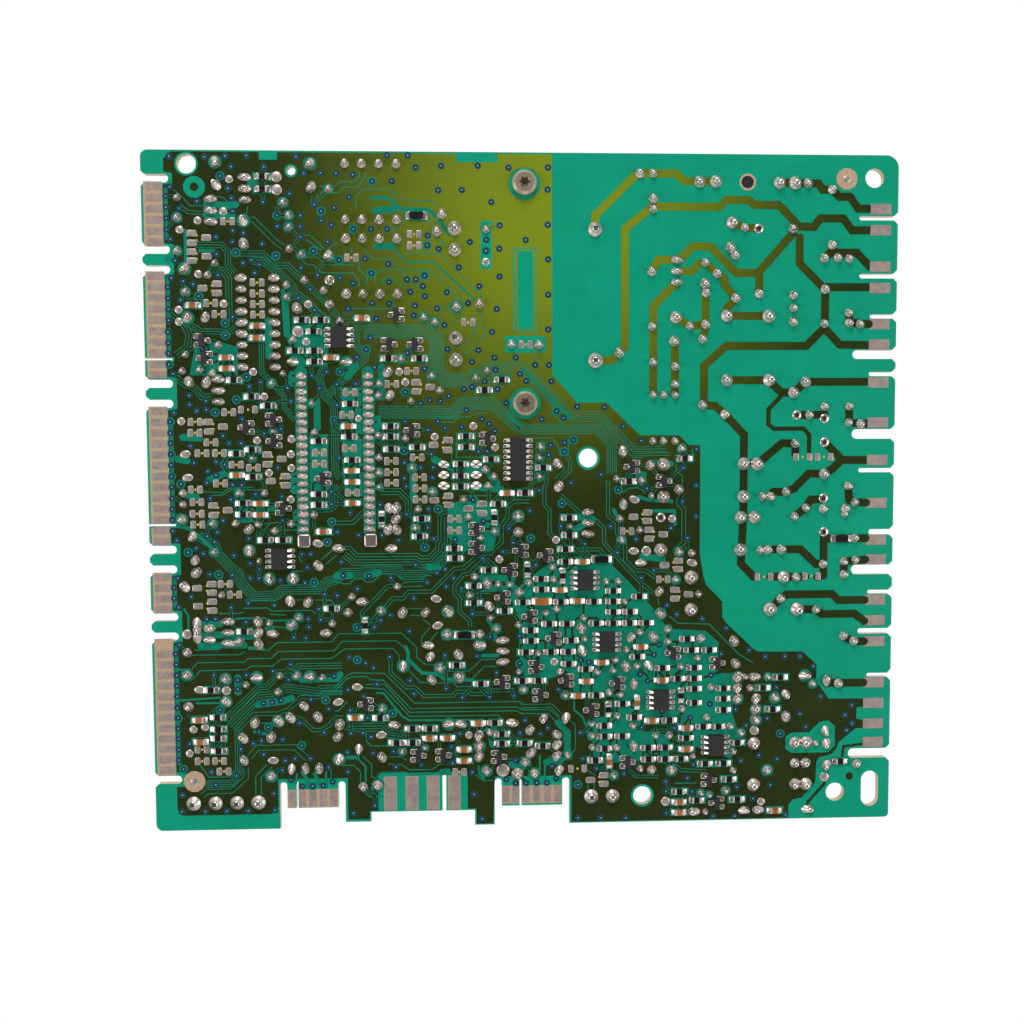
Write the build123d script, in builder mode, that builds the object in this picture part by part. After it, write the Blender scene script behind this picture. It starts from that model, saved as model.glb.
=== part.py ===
from build123d import *
import os

os.makedirs("parts", exist_ok=True)

# Boiler control board, solder side up, at rest on the flat underside of its mains transformer.
# Places on the board are in mm from its lower left corner, x to the right and y up, seen from above.

BOARD_WIDTH = 175.0
BOARD_DEPTH = 157.5
BOARD_THICKNESS = 1.6
TRANSFORMER_WIDTH = 48.0
TRANSFORMER_DEPTH = 57.0
TRANSFORMER_HEIGHT = 38.0
MOUNTING_HOLE = 4.4
CONTACT_PITCH = 2.5
PITCH = 2.54
LEAD_TAIL = 1.3
COPPER = 0.07

UNDERSIDE = TRANSFORMER_HEIGHT
TOP = UNDERSIDE + BOARD_THICKNESS
CORNER = (-BOARD_WIDTH / 2, -BOARD_DEPTH / 2)


def level(z):
    """A level plane at height z whose origin is the lower left corner of the board."""
    return Plane(origin=(*CORNER, z))


def box_at(places, x, y, top, bottom, mode=Mode.ADD):
    """The same upright box at each place, from its top height down to its bottom height."""
    with Locations(level(top)):
        with Locations(*places):
            Box(x, y, top - bottom, align=(Align.CENTER, Align.CENTER, Align.MAX), mode=mode)


def drum_at(places, radius, top, bottom, mode=Mode.ADD):
    """The same upright cylinder at each place, from its top height down to its bottom height."""
    with Locations(level(top)):
        with Locations(*places):
            Cylinder(radius, top - bottom, align=(Align.CENTER, Align.CENTER, Align.MAX), mode=mode)


def grid(columns, rows):
    """Every crossing of the named columns and rows."""
    return [(x, y) for y in rows for x in columns]


def pitched(first, pitch, count):
    """A row of coordinates at one pitch."""
    return [first + pitch * i for i in range(count)]


def pairs(places, dx, dy):
    """Both ends of parts that are centred on the places."""
    return [(x + s * dx / 2, y + s * dy / 2) for x, y in places for s in (-1, 1)]


# ---- Places of the parts -------------------------------------------------------------------

SIGNAL_SLOTS = (151.1, 135.1, 130.6, 104.7, 100.1, 66.4, 61.8, 50.7, 46.1, 12.2)
SIGNAL_SLITS = (110.3, 72.1)
SIGNAL_GROUPS = ((136.8, 6), (106.7, 10), (68.4, 13), (52.5, 4), (14.5, 12))
# height of each mains slot, its width, and its depth from the right edge
MAINS_SLOTS = (
    (143.0, 1.0, 9.2), (129.6, 1.1, 9.0), (120.2, 1.0, 6.4), (111.3, 2.1, 10.4),
    (106.7, 1.0, 6.4), (92.6, 2.3, 10.3), (84.0, 1.0, 8.6), (69.3, 1.3, 5.9),
    (60.3, 2.3, 10.0), (54.9, 1.0, 6.0), (45.5, 1.3, 8.2), (34.8, 1.0, 5.9), (15.8, 2.3, 10.1),
)
MAINS_CONTACTS = (
    145.1, 140.2, 131.8, 126.8, 118.4, 113.6, 104.7, 95.3, 86.4, 76.2,
    67.4, 62.7, 53.0, 48.1, 43.0, 33.0, 28.0, 23.0, 18.5,
)
# recesses of the lower edge: left end, right end, height
LOWER_STEPS = ((29.0, 44.3, 4.9), (44.3, 50.3, 1.3), (50.3, 74.9, 3.6), (79.6, 97.4, 4.5))
LOWER_NOTCHES = (29.8, 43.45, 80.45, 96.6)
LOWER_SLITS = ((33.0, 0.5, 11.2), (67.65, 0.9, 12.5), (85.8, 0.5, 10.8))
LOWER_CONTACTS = (31.8, 34.1, 36.6, 39.1, 41.5, 82.3, 84.6, 87.1, 89.6, 92.2, 94.7)
WIDE_CONTACTS = (54.9, 60.0, 65.0, 70.0)

TRANSFORMER = (87.2, 125.2)
SCREW_SPACING = 50.4
TRANSFORMER_PINS = grid((71.0,), (140.2, 135.3, 115.2, 110.0)) + grid((103.6,), (140.1, 109.9))
PULSE_TRANSFORMERS = ((52.0, 148.4), (52.0, 131.5))
PULSE_PITCH = 3.85
PULSE_ROWS = 12.6

MICROCONTROLLER = (43.1, 88.65)
DRIVER = (25.9, 118.6)
OPTOCOUPLERS = ((71.9, 83.4), (119.9, 96.5))

LONG_RELAYS = ((132.1, 81.8), (138.8, 54.9))
LONG_RELAY_PINS = (
    (119.8, 85.6), (119.8, 78.0), (138.9, 85.7), (138.9, 77.9), (142.1, 85.6), (143.5, 77.9),
    (126.5, 58.8), (126.5, 51.1), (145.5, 51.0), (148.7, 58.7), (152.0, 51.0),
)
SQUARE_RELAY = (148.3, 13.5)
SQUARE_RELAY_PINS = ((141.9, 18.6), (141.9, 8.5), (151.9, 18.6), (151.9, 13.6), (151.9, 8.5))

SUPPRESSORS = ((134.65, 112.8), (144.6, 112.8), (150.2, 132.8))
SUPPRESSOR_PITCH = 15.0
FUSE = (139.3, 151.1)
FUSE_PINS = grid((128.0, 131.8, 146.8, 150.6), (151.1,))
DISCS = ((135.5, 139.0), (117.15, 150.1))
DISC_PITCH = 5.8

TERMINALS = (8.75, 13.83, 18.91, 23.99, 102.7, 107.8)
TERMINAL_LINE = 6.5

# small can capacitors, leads one above the other
CANS = ((16.9, 152.2), (38.3, 152.0), (95.0, 83.2), (119.0, 52.9), (137.1, 40.7),
        (149.5, 27.7), (100.5, 44.2), (9.0, 85.8), (10.1, 66.7), (85.5, 71.7))
# boxed film capacitors, leads one above the other and side by side
UPRIGHT_FILMS = ((22.9, 139.1), (55.6, 104.6), (22.9, 68.5), (38.7, 65.0), (32.2, 51.3),
                 (64.8, 37.9), (71.3, 38.4), (88.2, 19.9), (53.0, 19.4), (42.8, 19.1),
                 (43.0, 27.3), (27.3, 19.2), (20.7, 19.2), (122.4, 111.4))
LEVEL_FILMS = ((30.1, 59.4), (66.2, 51.2), (114.9, 44.6), (113.7, 37.7), (94.0, 25.5), (26.1, 25.6))
RADIAL_PITCH = 5.3
# axial resistors on 12.5 mm, lying along x and along y
LEVEL_AXIALS = ((34.1, 46.5), (49.6, 66.35), (51.8, 51.2), (70.2, 43.25), (62.4, 24.4),
                (77.8, 24.5), (30.2, 36.2))
UPRIGHT_AXIALS = ((117.0, 124.2), (128.95, 107.2))
AXIAL_PITCH = 12.5
TRANSISTORS = ((23.4, 148.9), (15.6, 144.0), (122.8, 130.6), (16.5, 103.1), (57.0, 73.2),
               (17.6, 46.9), (76.0, 19.0), (94.5, 19.0), (142.3, 26.9), (137.8, 32.1))
REGULATORS = ((101.9, 71.9), (81.7, 41.7))

SMALL_ICS = ((44.3, 115.15), (29.95, 64.1), (101.2, 58.4), (106.4, 43.65), (119.3, 29.6), (132.5, 18.5))
LOGIC_IC = (85.5, 86.9)
# three-lead chips with the single lead on the right, then on the left
SINGLE_RIGHT = (
    (13.1, 114.5), (29.0, 96.4), (55.8, 113.6), (78.4, 91.8), (30.9, 75.8), (75.7, 70.7),
    (75.7, 66.3), (119.9, 81.7), (61.6, 17.0), (67.5, 17.0), (80.7, 16.4), (89.6, 37.9),
    (90.6, 31.1), (111.4, 14.6), (131.0, 9.9), (132.9, 38.2),
)
SINGLE_LEFT = (
    (13.5, 110.5), (57.5, 120.4), (22.7, 94.6), (29.0, 91.4), (40.1, 82.7), (60.8, 93.8),
    (61.7, 113.6), (112.3, 85.1), (86.0, 65.5), (91.8, 64.4), (83.4, 61.0), (81.7, 54.5),
    (88.1, 49.9), (93.7, 44.6), (122.2, 40.8), (81.5, 34.4), (96.7, 34.5), (108.9, 33.7),
    (49.3, 29.5), (102.7, 27.3), (132.9, 4.3),
)
# chip resistors, row by row from the top of the board: height, then places along x
RESISTOR_ROWS = (
    (151.6, 27.4), (148.8, 27.4), (119.2, 35.9, 40.2), (116.6, 38.5), (112.2, 34.2, 38.6),
    (110.4, 55.6, 62.7), (109.7, 38.6), (105.5, 20.1, 81.8), (103.1, 77.8), (101.7, 24.1),
    (100.0, 46.6), (99.6, 27.8), (94.8, 55.9), (92.4, 46.3, 55.9, 73.4), (91.4, 39.3),
    (89.9, 62.0, 73.4), (89.5, 24.0, 56.0), (88.6, 20.4), (87.0, 46.9, 79.2, 124.8),
    (85.9, 72.1), (85.0, 91.4), (83.2, 24.1, 72.1), (81.7, 111.6), (80.7, 72.1),
    (79.1, 39.1, 87.1), (77.1, 21.7), (76.6, 39.1, 80.8), (74.5, 21.7), (73.2, 62.9, 97.5),
    (69.1, 62.4, 97.5), (68.5, 26.7, 30.7), (66.2, 70.5), (65.8, 96.6), (63.9, 70.6),
    (62.8, 96.6), (61.0, 78.5), (58.8, 90.8), (57.3, 75.0), (56.3, 90.9), (55.8, 107.9),
    (54.4, 114.1), (53.3, 75.0, 86.5, 95.5, 103.3, 107.9), (52.3, 41.7), (51.3, 82.2),
    (50.8, 107.9, 111.9), (48.1, 92.7, 96.9, 103.9, 107.9, 111.8, 115.8), (47.1, 21.4),
    (46.6, 88.3), (44.1, 88.4, 97.9, 125.6), (41.4, 87.2, 93.1, 97.2, 126.6, 130.9),
    (40.0, 113.7), (38.5, 70.8, 97.3), (37.2, 101.4, 119.7, 127.3),
    (34.6, 86.3, 90.1, 123.4, 127.3, 148.1), (34.0, 76.5), (33.4, 13.4), (32.1, 127.4, 134.4, 143.9),
    (30.9, 103.9), (29.6, 134.4), (28.7, 110.2, 127.4), (26.9, 14.8, 134.4, 146.3), (26.2, 52.7),
    (25.4, 113.0), (24.6, 79.7, 121.4), (24.1, 14.9), (23.5, 60.3, 64.3, 105.8),
    (22.9, 129.5, 133.2), (21.9, 14.8, 81.4), (20.9, 105.9, 110.1), (20.2, 56.5, 60.3, 125.5),
    (19.6, 81.4, 86.8), (18.9, 14.9, 91.1, 137.8), (18.0, 105.9, 116.3, 120.4),
    (15.2, 103.7, 116.4, 120.4, 124.2), (13.9, 130.1, 134.5, 162.9), (10.0, 135.9),
    (7.2, 123.9), (5.0, 128.1, 137.9),
)
RESISTOR_TURNED = ((53.6, 73.2), (79.9, 73.4), (49.4, 48.2), (87.6, 61.0), (95.9, 59.5),
                   (106.8, 27.4), (124.2, 30.5))
RESISTOR_LARGE = ((62.35, 143.0), (72.7, 45.7), (105.1, 63.3), (162.5, 67.8))
CAPACITOR_ROWS = (
    (122.5, 11.2), (119.6, 49.6), (117.8, 25.7), (115.1, 25.5), (110.6, 18.4, 42.4), (108.1, 18.5),
    (94.8, 46.2), (84.5, 46.8), (83.6, 20.4), (81.9, 46.9), (79.1, 82.9), (77.0, 25.6, 46.9),
    (74.4, 25.6), (70.4, 40.1), (62.8, 100.6), (56.2, 95.3), (53.5, 99.4), (42.4, 114.5),
    (38.8, 105.2), (34.3, 101.5, 119.5), (30.9, 99.5), (26.4, 10.6, 46.9), (24.6, 75.8, 117.2),
    (22.7, 125.5), (21.2, 10.8, 64.3, 68.5), (18.4, 72.4), (17.6, 125.5), (15.7, 72.4),
    (4.7, 123.9), (2.2, 123.9, 147.0),
)
CAPACITOR_TURNED = ((113.6, 29.0), (107.0, 14.9))
CAPACITOR_LARGE = ((91.0, 53.5),)


def places_of(rows):
    """Unfold rows of (height, place, place ...) into places."""
    return [(x, row[0]) for row in rows for x in row[1:]]


PULSE_PINS = [
    (x + column, y + side * PULSE_ROWS / 2)
    for x, y in PULSE_TRANSFORMERS
    for side in (-1, 1)
    for column in pitched(-1.5 * PULSE_PITCH, PULSE_PITCH, 4)
]
SUPPRESSOR_LEADS = pairs(SUPPRESSORS, 0, SUPPRESSOR_PITCH)
AXIAL_LEADS = pairs(LEVEL_AXIALS, AXIAL_PITCH, 0) + pairs(UPRIGHT_AXIALS, 0, AXIAL_PITCH)
DISC_LEADS = pairs(DISCS, 0, DISC_PITCH)
TERMINAL_PINS = grid(TERMINALS, (TERMINAL_LINE,))
MICRO_LEADS = grid(
    (MICROCONTROLLER[0] - 7.62, MICROCONTROLLER[0] + 7.62),
    pitched(MICROCONTROLLER[1] - 10 * 1.778, 1.778, 21),
)
DRIVER_LEADS = grid((DRIVER[0] - 3.81, DRIVER[0] + 3.81), pitched(DRIVER[1] - 4 * PITCH, PITCH, 9))
OPTO_LEADS = grid(
    (OPTOCOUPLERS[0][0] - 3.81, OPTOCOUPLERS[0][0] + 3.81), pitched(OPTOCOUPLERS[0][1] - PITCH, PITCH, 3)
) + grid(pitched(OPTOCOUPLERS[1][0] - PITCH, PITCH, 3), (OPTOCOUPLERS[1][1] - 5.4, OPTOCOUPLERS[1][1] + 5.4))

# ---- Circuit board ---------------------------------------------------------------------------

with BuildPart() as circuit_board:
    with BuildSketch(level(UNDERSIDE)) as outline:
        with Locations((BOARD_WIDTH / 2, BOARD_DEPTH / 2)):
            Rectangle(BOARD_WIDTH, BOARD_DEPTH)
        for left, right, height in LOWER_STEPS:
            with Locations((left, 0)):
                Rectangle(right - left, height, align=(Align.MIN, Align.MIN), mode=Mode.SUBTRACT)
        for x, width, height in LOWER_SLITS:
            with Locations((x, 0)):
                Rectangle(width, height, align=(Align.CENTER, Align.MIN), mode=Mode.SUBTRACT)
        fillet(outline.vertices().group_by(Axis.Y)[-1].sort_by(Axis.X)[-1], 3.0)
        fillet(outline.vertices().group_by(Axis.Y)[-1].sort_by(Axis.X)[0], 1.6)
        fillet(outline.vertices().group_by(Axis.X)[0].sort_by(Axis.Y)[0], 1.6)
        fillet(outline.vertices().group_by(Axis.X)[-1].sort_by(Axis.Y)[0], 1.0)
        for x in LOWER_NOTCHES:
            with Locations((x, 11.1 - 10)):
                SlotOverall(20, 1.7, rotation=90, mode=Mode.SUBTRACT)
        for y in SIGNAL_SLOTS:
            with Locations((0, y)):
                SlotOverall(12.4, 1.9, mode=Mode.SUBTRACT)
                Trapezoid(3.5, 1.0, 45, rotation=-90, align=(Align.CENTER, Align.MIN), mode=Mode.SUBTRACT)
        for y in SIGNAL_SLITS:
            with Locations((0, y)):
                Rectangle(12.4, 0.5, mode=Mode.SUBTRACT)
        for y, width, depth in MAINS_SLOTS:
            with Locations((BOARD_WIDTH, y)):
                SlotOverall(2 * depth, width, mode=Mode.SUBTRACT)
                Trapezoid(
                    width + 1.8, 1.0, 45, rotation=90, align=(Align.CENTER, Align.MIN), mode=Mode.SUBTRACT
                )
        with Locations(
            (10.3, BOARD_DEPTH - 3.1), (BOARD_WIDTH - 5.7, BOARD_DEPTH - 5.3), (102.0, 87.2),
            (115.0, 6.4), (BOARD_WIDTH - 13.2, 6.4),
        ):
            Circle(MOUNTING_HOLE / 2, mode=Mode.SUBTRACT)
        with Locations((BOARD_WIDTH - 4.7, 7.1)):
            SlotOverall(8.6, 4.2, rotation=90, mode=Mode.SUBTRACT)
        with Locations(FUSE):
            Circle(1.45, mode=Mode.SUBTRACT)
        with Locations((33.9, BOARD_DEPTH - 4.5)):
            Circle(1.0, mode=Mode.SUBTRACT)
        with Locations(*pairs((TRANSFORMER,), 0, SCREW_SPACING)):
            Circle(1.7, mode=Mode.SUBTRACT)
    extrude(amount=BOARD_THICKNESS)
    # plated holes of the thick pins, each a little wider than its pin
    for places, hole in (
        (PULSE_PINS, 0.9),
        (SUPPRESSOR_LEADS + DISC_LEADS, 1.1),
        (list(LONG_RELAY_PINS + SQUARE_RELAY_PINS) + FUSE_PINS + TERMINAL_PINS + TRANSFORMER_PINS, 1.3),
    ):
        box_at(places, hole, hole, TOP + 1, UNDERSIDE - 1, mode=Mode.SUBTRACT)

# ---- Edge contacts ---------------------------------------------------------------------------

with BuildPart() as signal_contacts:
    for first, count in SIGNAL_GROUPS:
        box_at(grid((2.9,), pitched(first, CONTACT_PITCH, count)), 3.6, 1.6, TOP + COPPER, TOP)
    box_at(grid(LOWER_CONTACTS, (7.2,)), 1.6, 3.8, TOP + COPPER, TOP)

with BuildPart() as mains_contacts:
    box_at(grid((BOARD_WIDTH - 4.1,), MAINS_CONTACTS), 4.9, 2.4, TOP + COPPER, TOP)
    box_at(grid(WIDE_CONTACTS, (7.95,)), 2.6, 7.9, TOP + COPPER, TOP)

# ---- Mains transformer -----------------------------------------------------------------------

WALL = 1.5
CORE_WIDTH = 35.0
CORE_DEPTH = 42.0
STACK = 18.0
LEG = 14.0
WINDOW = (21.0, 7.0)
MIDDLE = TRANSFORMER_HEIGHT / 2
BOSSES = pairs((TRANSFORMER,), 0, SCREW_SPACING)

with BuildPart() as transformer_housing:
    with BuildSketch(level(0)):
        with Locations(TRANSFORMER):
            RectangleRounded(TRANSFORMER_WIDTH, TRANSFORMER_DEPTH, 2.0)
    extrude(amount=TRANSFORMER_HEIGHT)
    chamfer(transformer_housing.faces().sort_by(Axis.Z)[0].edges(), 0.8)
    with BuildSketch(level(WALL)):
        with Locations(TRANSFORMER):
            RectangleRounded(TRANSFORMER_WIDTH - 2 * WALL, TRANSFORMER_DEPTH - 2 * WALL, 0.8)
        with Locations(*BOSSES):
            Circle(3.2, mode=Mode.SUBTRACT)
    extrude(amount=TRANSFORMER_HEIGHT - WALL, mode=Mode.SUBTRACT)
    drum_at(BOSSES, 1.5, TRANSFORMER_HEIGHT, TRANSFORMER_HEIGHT - 12, mode=Mode.SUBTRACT)

with BuildPart() as transformer_core:
    box_at((TRANSFORMER,), CORE_WIDTH, CORE_DEPTH, MIDDLE + STACK / 2, MIDDLE - STACK / 2)
    box_at(
        pairs((TRANSFORMER,), 0, LEG + WINDOW[1]), *WINDOW,
        MIDDLE + STACK / 2, MIDDLE - STACK / 2, mode=Mode.SUBTRACT,
    )

with BuildPart() as transformer_bobbin:
    for offset in (-1, 0, 1):
        place = (TRANSFORMER[0] + offset * (WINDOW[0] / 2 - 0.5), TRANSFORMER[1])
        box_at((place,), 1.0, LEG + 2 * WINDOW[1] - 0.4, MIDDLE + 16, MIDDLE - 16)
    box_at((TRANSFORMER,), WINDOW[0], LEG + 2, MIDDLE + STACK / 2 + 1, MIDDLE - STACK / 2 - 1)
    box_at(
        (TRANSFORMER,), WINDOW[0], LEG, MIDDLE + STACK / 2, MIDDLE - STACK / 2, mode=Mode.SUBTRACT
    )


def winding(offset):
    """One chamber of wire round the middle leg."""
    place = (TRANSFORMER[0] + offset, TRANSFORMER[1])
    length = WINDOW[0] / 2 - 1.5
    box_at((place,), length, LEG + 2 * WINDOW[1] - 1.4, MIDDLE + 15.4, MIDDLE - 15.4)
    box_at(
        (place,), length, LEG + 2, MIDDLE + STACK / 2 + 1, MIDDLE - STACK / 2 - 1, mode=Mode.SUBTRACT
    )


with BuildPart() as transformer_primary_winding:
    winding(WINDOW[0] / 4 - 0.25)

with BuildPart() as transformer_secondary_winding:
    winding(0.25 - WINDOW[0] / 4)

with BuildPart() as transformer_pins:
    box_at(TRANSFORMER_PINS, 1.0, 1.0, TOP + LEAD_TAIL + 0.3, UNDERSIDE - 5)

with BuildPart() as transformer_potting:
    with BuildSketch(level(WALL)):
        with Locations(TRANSFORMER):
            RectangleRounded(TRANSFORMER_WIDTH - 2 * WALL, TRANSFORMER_DEPTH - 2 * WALL, 0.8)
        with Locations(*BOSSES):
            Circle(3.2, mode=Mode.SUBTRACT)
    extrude(amount=TRANSFORMER_HEIGHT - WALL - 1.0)
    for piece in (
        transformer_core, transformer_bobbin, transformer_primary_winding,
        transformer_secondary_winding, transformer_pins,
    ):
        add(piece.part, mode=Mode.SUBTRACT)

HEAD = 2.0
with BuildPart() as transformer_screws:
    drum_at(BOSSES, 2.8, TOP + HEAD, TOP)
    chamfer(transformer_screws.faces().group_by(Axis.Z)[-1].edges(), 0.6)
    drum_at(BOSSES, 1.5, TOP, UNDERSIDE - 9)
    # six-lobed socket as two crossed triangles
    for x, y in BOSSES:
        with BuildSketch(level(TOP + HEAD)):
            with Locations((x, y)):
                RegularPolygon(1.4, 3)
                RegularPolygon(1.4, 3, rotation=60)
        extrude(amount=-1.3, mode=Mode.SUBTRACT)

# ---- Pulse transformers ------------------------------------------------------------------------

PULSE_TOP = UNDERSIDE - 0.5
PULSE_AXIS = UNDERSIDE - 7.5

with BuildPart() as pulse_transformer_bobbins:
    rails = [(x, y + side * PULSE_ROWS / 2) for x, y in PULSE_TRANSFORMERS for side in (-1, 1)]
    box_at(rails, 14.0, 2.6, PULSE_TOP, PULSE_TOP - 3.2)
    cheeks = [(x, y + side * 5.0) for x, y in PULSE_TRANSFORMERS for side in (-1, 1)]
    box_at(cheeks, 10.6, 0.8, PULSE_AXIS + 5.2, PULSE_AXIS - 5.2)
    box_at(PULSE_TRANSFORMERS, 6.4, 10.8, PULSE_AXIS + 3.2, PULSE_AXIS - 3.2)
    box_at(PULSE_TRANSFORMERS, 4.8, 12.0, PULSE_AXIS + 2.4, PULSE_AXIS - 2.4, mode=Mode.SUBTRACT)

with BuildPart() as pulse_transformer_cores:
    box_at(PULSE_TRANSFORMERS, 16.2, 16.2, PULSE_AXIS + 2.35, PULSE_AXIS - 2.35)
    windows = [(x + side * 4.0, y) for x, y in PULSE_TRANSFORMERS for side in (-1, 1)]
    box_at(windows, 3.3, 10.9, PULSE_TOP, PULSE_AXIS - 4, mode=Mode.SUBTRACT)

with BuildPart() as pulse_transformer_windings:
    box_at(PULSE_TRANSFORMERS, 10.0, 9.0, PULSE_AXIS + 4.9, PULSE_AXIS - 4.9)
    box_at(PULSE_TRANSFORMERS, 6.4, 9.0, PULSE_AXIS + 3.2, PULSE_AXIS - 3.2, mode=Mode.SUBTRACT)

with BuildPart() as pulse_transformer_pins:
    box_at(PULSE_PINS, 0.6, 0.6, TOP + LEAD_TAIL, PULSE_TOP - 2.6)

# the pins are moulded into the rails
with BuildPart() as pulse_bobbins_drilled:
    add(pulse_transformer_bobbins.part)
    box_at(PULSE_PINS, 0.6, 0.6, PULSE_TOP, PULSE_TOP - 2.6, mode=Mode.SUBTRACT)

# ---- Dual in line packages ---------------------------------------------------------------------

STANDOFF = 0.6
PACKAGE = 3.4
SHOULDER = UNDERSIDE - STANDOFF - PACKAGE / 2


def package(place, x, y):
    """A moulded body with drafted sides, hung below the board."""
    with BuildSketch(level(SHOULDER)) as middle:
        with Locations(place):
            Rectangle(x, y)
    extrude(middle.sketch, amount=PACKAGE / 2, taper=7)
    extrude(middle.sketch, amount=-PACKAGE / 2, taper=7)


def package_leads(places, toward, reach, thick=0.5):
    """Legs from the board with a shoulder that runs in to the body at mid height."""
    box_at(places, thick, thick, UNDERSIDE, SHOULDER - 0.15)
    shoulders = [(x + dx * (reach - thick) / 2, y + dy * (reach - thick) / 2)
                 for (x, y), (dx, dy) in zip(places, toward)]
    wide = [reach if dx else thick for dx, dy in toward][0]
    deep = [reach if dy else thick for dx, dy in toward][0]
    box_at(shoulders, wide, deep, SHOULDER + 0.15, SHOULDER - 0.15)


with BuildPart() as microcontroller_body:
    package(MICROCONTROLLER, 13.6, 37.0)

with BuildPart() as microcontroller_leads:
    inward = [(1 if x < MICROCONTROLLER[0] else -1, 0) for x, y in MICRO_LEADS]
    package_leads(MICRO_LEADS, inward, 7.62 - 6.8 + 0.25)

with BuildPart() as driver_body:
    package(DRIVER, 6.4, 22.9)

with BuildPart() as driver_leads:
    inward = [(1 if x < DRIVER[0] else -1, 0) for x, y in DRIVER_LEADS]
    package_leads(DRIVER_LEADS, inward, 3.81 - 3.2 + 0.25)

with BuildPart() as optocoupler_bodies:
    package(OPTOCOUPLERS[0], 6.4, 7.3)
    package(OPTOCOUPLERS[1], 7.3, 6.4)

with BuildPart() as optocoupler_leads:
    near = OPTO_LEADS[:6]
    package_leads(near, [(1 if x < OPTOCOUPLERS[0][0] else -1, 0) for x, y in near], 3.81 - 3.2 + 0.25)
    far = OPTO_LEADS[6:]
    package_leads(far, [(0, 1 if y < OPTOCOUPLERS[1][1] else -1) for x, y in far], 5.4 - 3.2 + 0.25)

# ---- Relays --------------------------------------------------------------------------------------

RELAY_HEIGHT = 15.7
COVER_WALL = 0.8
BASE = 2.0
RELAYS = ((*LONG_RELAYS[0], 29.0, 12.7), (*LONG_RELAYS[1], 29.0, 12.7), (*SQUARE_RELAY, 19.0, 15.6))
RELAY_PINS = LONG_RELAY_PINS + SQUARE_RELAY_PINS
BASE_TOP = UNDERSIDE - 0.3
BASE_BOTTOM = BASE_TOP - BASE
COVER_BOTTOM = UNDERSIDE - RELAY_HEIGHT
COIL_AXIS = (BASE_BOTTOM + COVER_BOTTOM + COVER_WALL) / 2

with BuildPart() as relay_covers:
    for x, y, width, depth in RELAYS:
        with BuildSketch(level(BASE_TOP)):
            with Locations((x, y)):
                RectangleRounded(width, depth, 0.8)
        extrude(amount=COVER_BOTTOM - BASE_TOP)
        box_at(
            ((x, y),), width - 2 * COVER_WALL, depth - 2 * COVER_WALL,
            BASE_TOP, COVER_BOTTOM + COVER_WALL, mode=Mode.SUBTRACT,
        )

with BuildPart() as relay_pins:
    box_at(RELAY_PINS, 0.9, 0.9, TOP + LEAD_TAIL, BASE_BOTTOM - 1.0)

with BuildPart() as relay_bases:
    for x, y, width, depth in RELAYS:
        box_at(((x, y),), width - 2 * COVER_WALL, depth - 2 * COVER_WALL, BASE_TOP, BASE_BOTTOM)
    box_at(RELAY_PINS, 0.9, 0.9, BASE_TOP, BASE_BOTTOM, mode=Mode.SUBTRACT)

COIL_LENGTH = 9.0
COIL_OFFSET = -4.6


def coil_plane(x, y, width):
    """The plane square to the coil axis at its inner end."""
    inner = x - width / 2 + 3.6
    return Plane(origin=(CORNER[0] + inner, CORNER[1] + y, COIL_AXIS), x_dir=(0, 1, 0), z_dir=(1, 0, 0))


with BuildPart() as relay_coils:
    for x, y, width, depth in RELAYS:
        with BuildSketch(coil_plane(x, y, width)):
            Circle(4.2)
            Circle(2.0, mode=Mode.SUBTRACT)
        extrude(amount=COIL_LENGTH)

with BuildPart() as relay_cores:
    for x, y, width, depth in RELAYS:
        with BuildSketch(coil_plane(x, y, width)):
            Circle(2.0)
        extrude(amount=COIL_LENGTH)
        with BuildSketch(coil_plane(x, y, width).offset(-1.2)):
            with Locations((0, 0.4)):
                Rectangle(7.0, 9.4)
        extrude(amount=1.2)
        with BuildSketch(coil_plane(x, y, width)):
            with Locations((0, 4.65)):
                Rectangle(7.0, 0.9)
        extrude(amount=COIL_LENGTH)

with BuildPart() as relay_armatures:
    for x, y, width, depth in RELAYS:
        with BuildSketch(coil_plane(x, y, width).offset(COIL_LENGTH)):
            with Locations((0, 0.4)):
                Rectangle(6.6, 8.4)
        extrude(amount=1.1)

# ---- Mains suppression, fuse, varistor -----------------------------------------------------------

with BuildPart() as suppression_capacitors:
    for (x, y), width, depth, height in zip(
        SUPPRESSORS, (8.0, 8.0, 7.0), (18.4, 18.4, 17.8), (15.0, 15.0, 13.5)
    ):
        with BuildSketch(level(UNDERSIDE)):
            with Locations((x, y)):
                RectangleRounded(width, depth, 0.6)
        extrude(amount=-height)
    box_at(SUPPRESSORS, 5.0, 20.0, UNDERSIDE, UNDERSIDE - 0.5, mode=Mode.SUBTRACT)

with BuildPart() as suppression_capacitor_leads:
    box_at(SUPPRESSOR_LEADS, 0.8, 0.8, TOP + LEAD_TAIL, UNDERSIDE - 0.5)

FUSE_AXIS = UNDERSIDE - 7.6
FUSE_PLANE = Plane(
    origin=(CORNER[0] + FUSE[0], CORNER[1] + FUSE[1], FUSE_AXIS), x_dir=(0, 1, 0), z_dir=(1, 0, 0)
)
FUSE_LENGTH = 20.0
CAP_LENGTH = 5.2

with BuildPart() as fuse_glass:
    with BuildSketch(FUSE_PLANE.offset(-FUSE_LENGTH / 2 + 0.4)):
        Circle(2.3)
        Circle(1.8, mode=Mode.SUBTRACT)
    extrude(amount=FUSE_LENGTH - 0.8)

with BuildPart() as fuse_caps:
    for side in (-1, 1):
        with BuildSketch(FUSE_PLANE.offset(side * FUSE_LENGTH / 2)):
            Circle(2.6)
        extrude(amount=-side * CAP_LENGTH)
        with BuildSketch(FUSE_PLANE.offset(side * (FUSE_LENGTH / 2 - 0.4))):
            Circle(2.3)
        extrude(amount=-side * CAP_LENGTH, mode=Mode.SUBTRACT)

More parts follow.
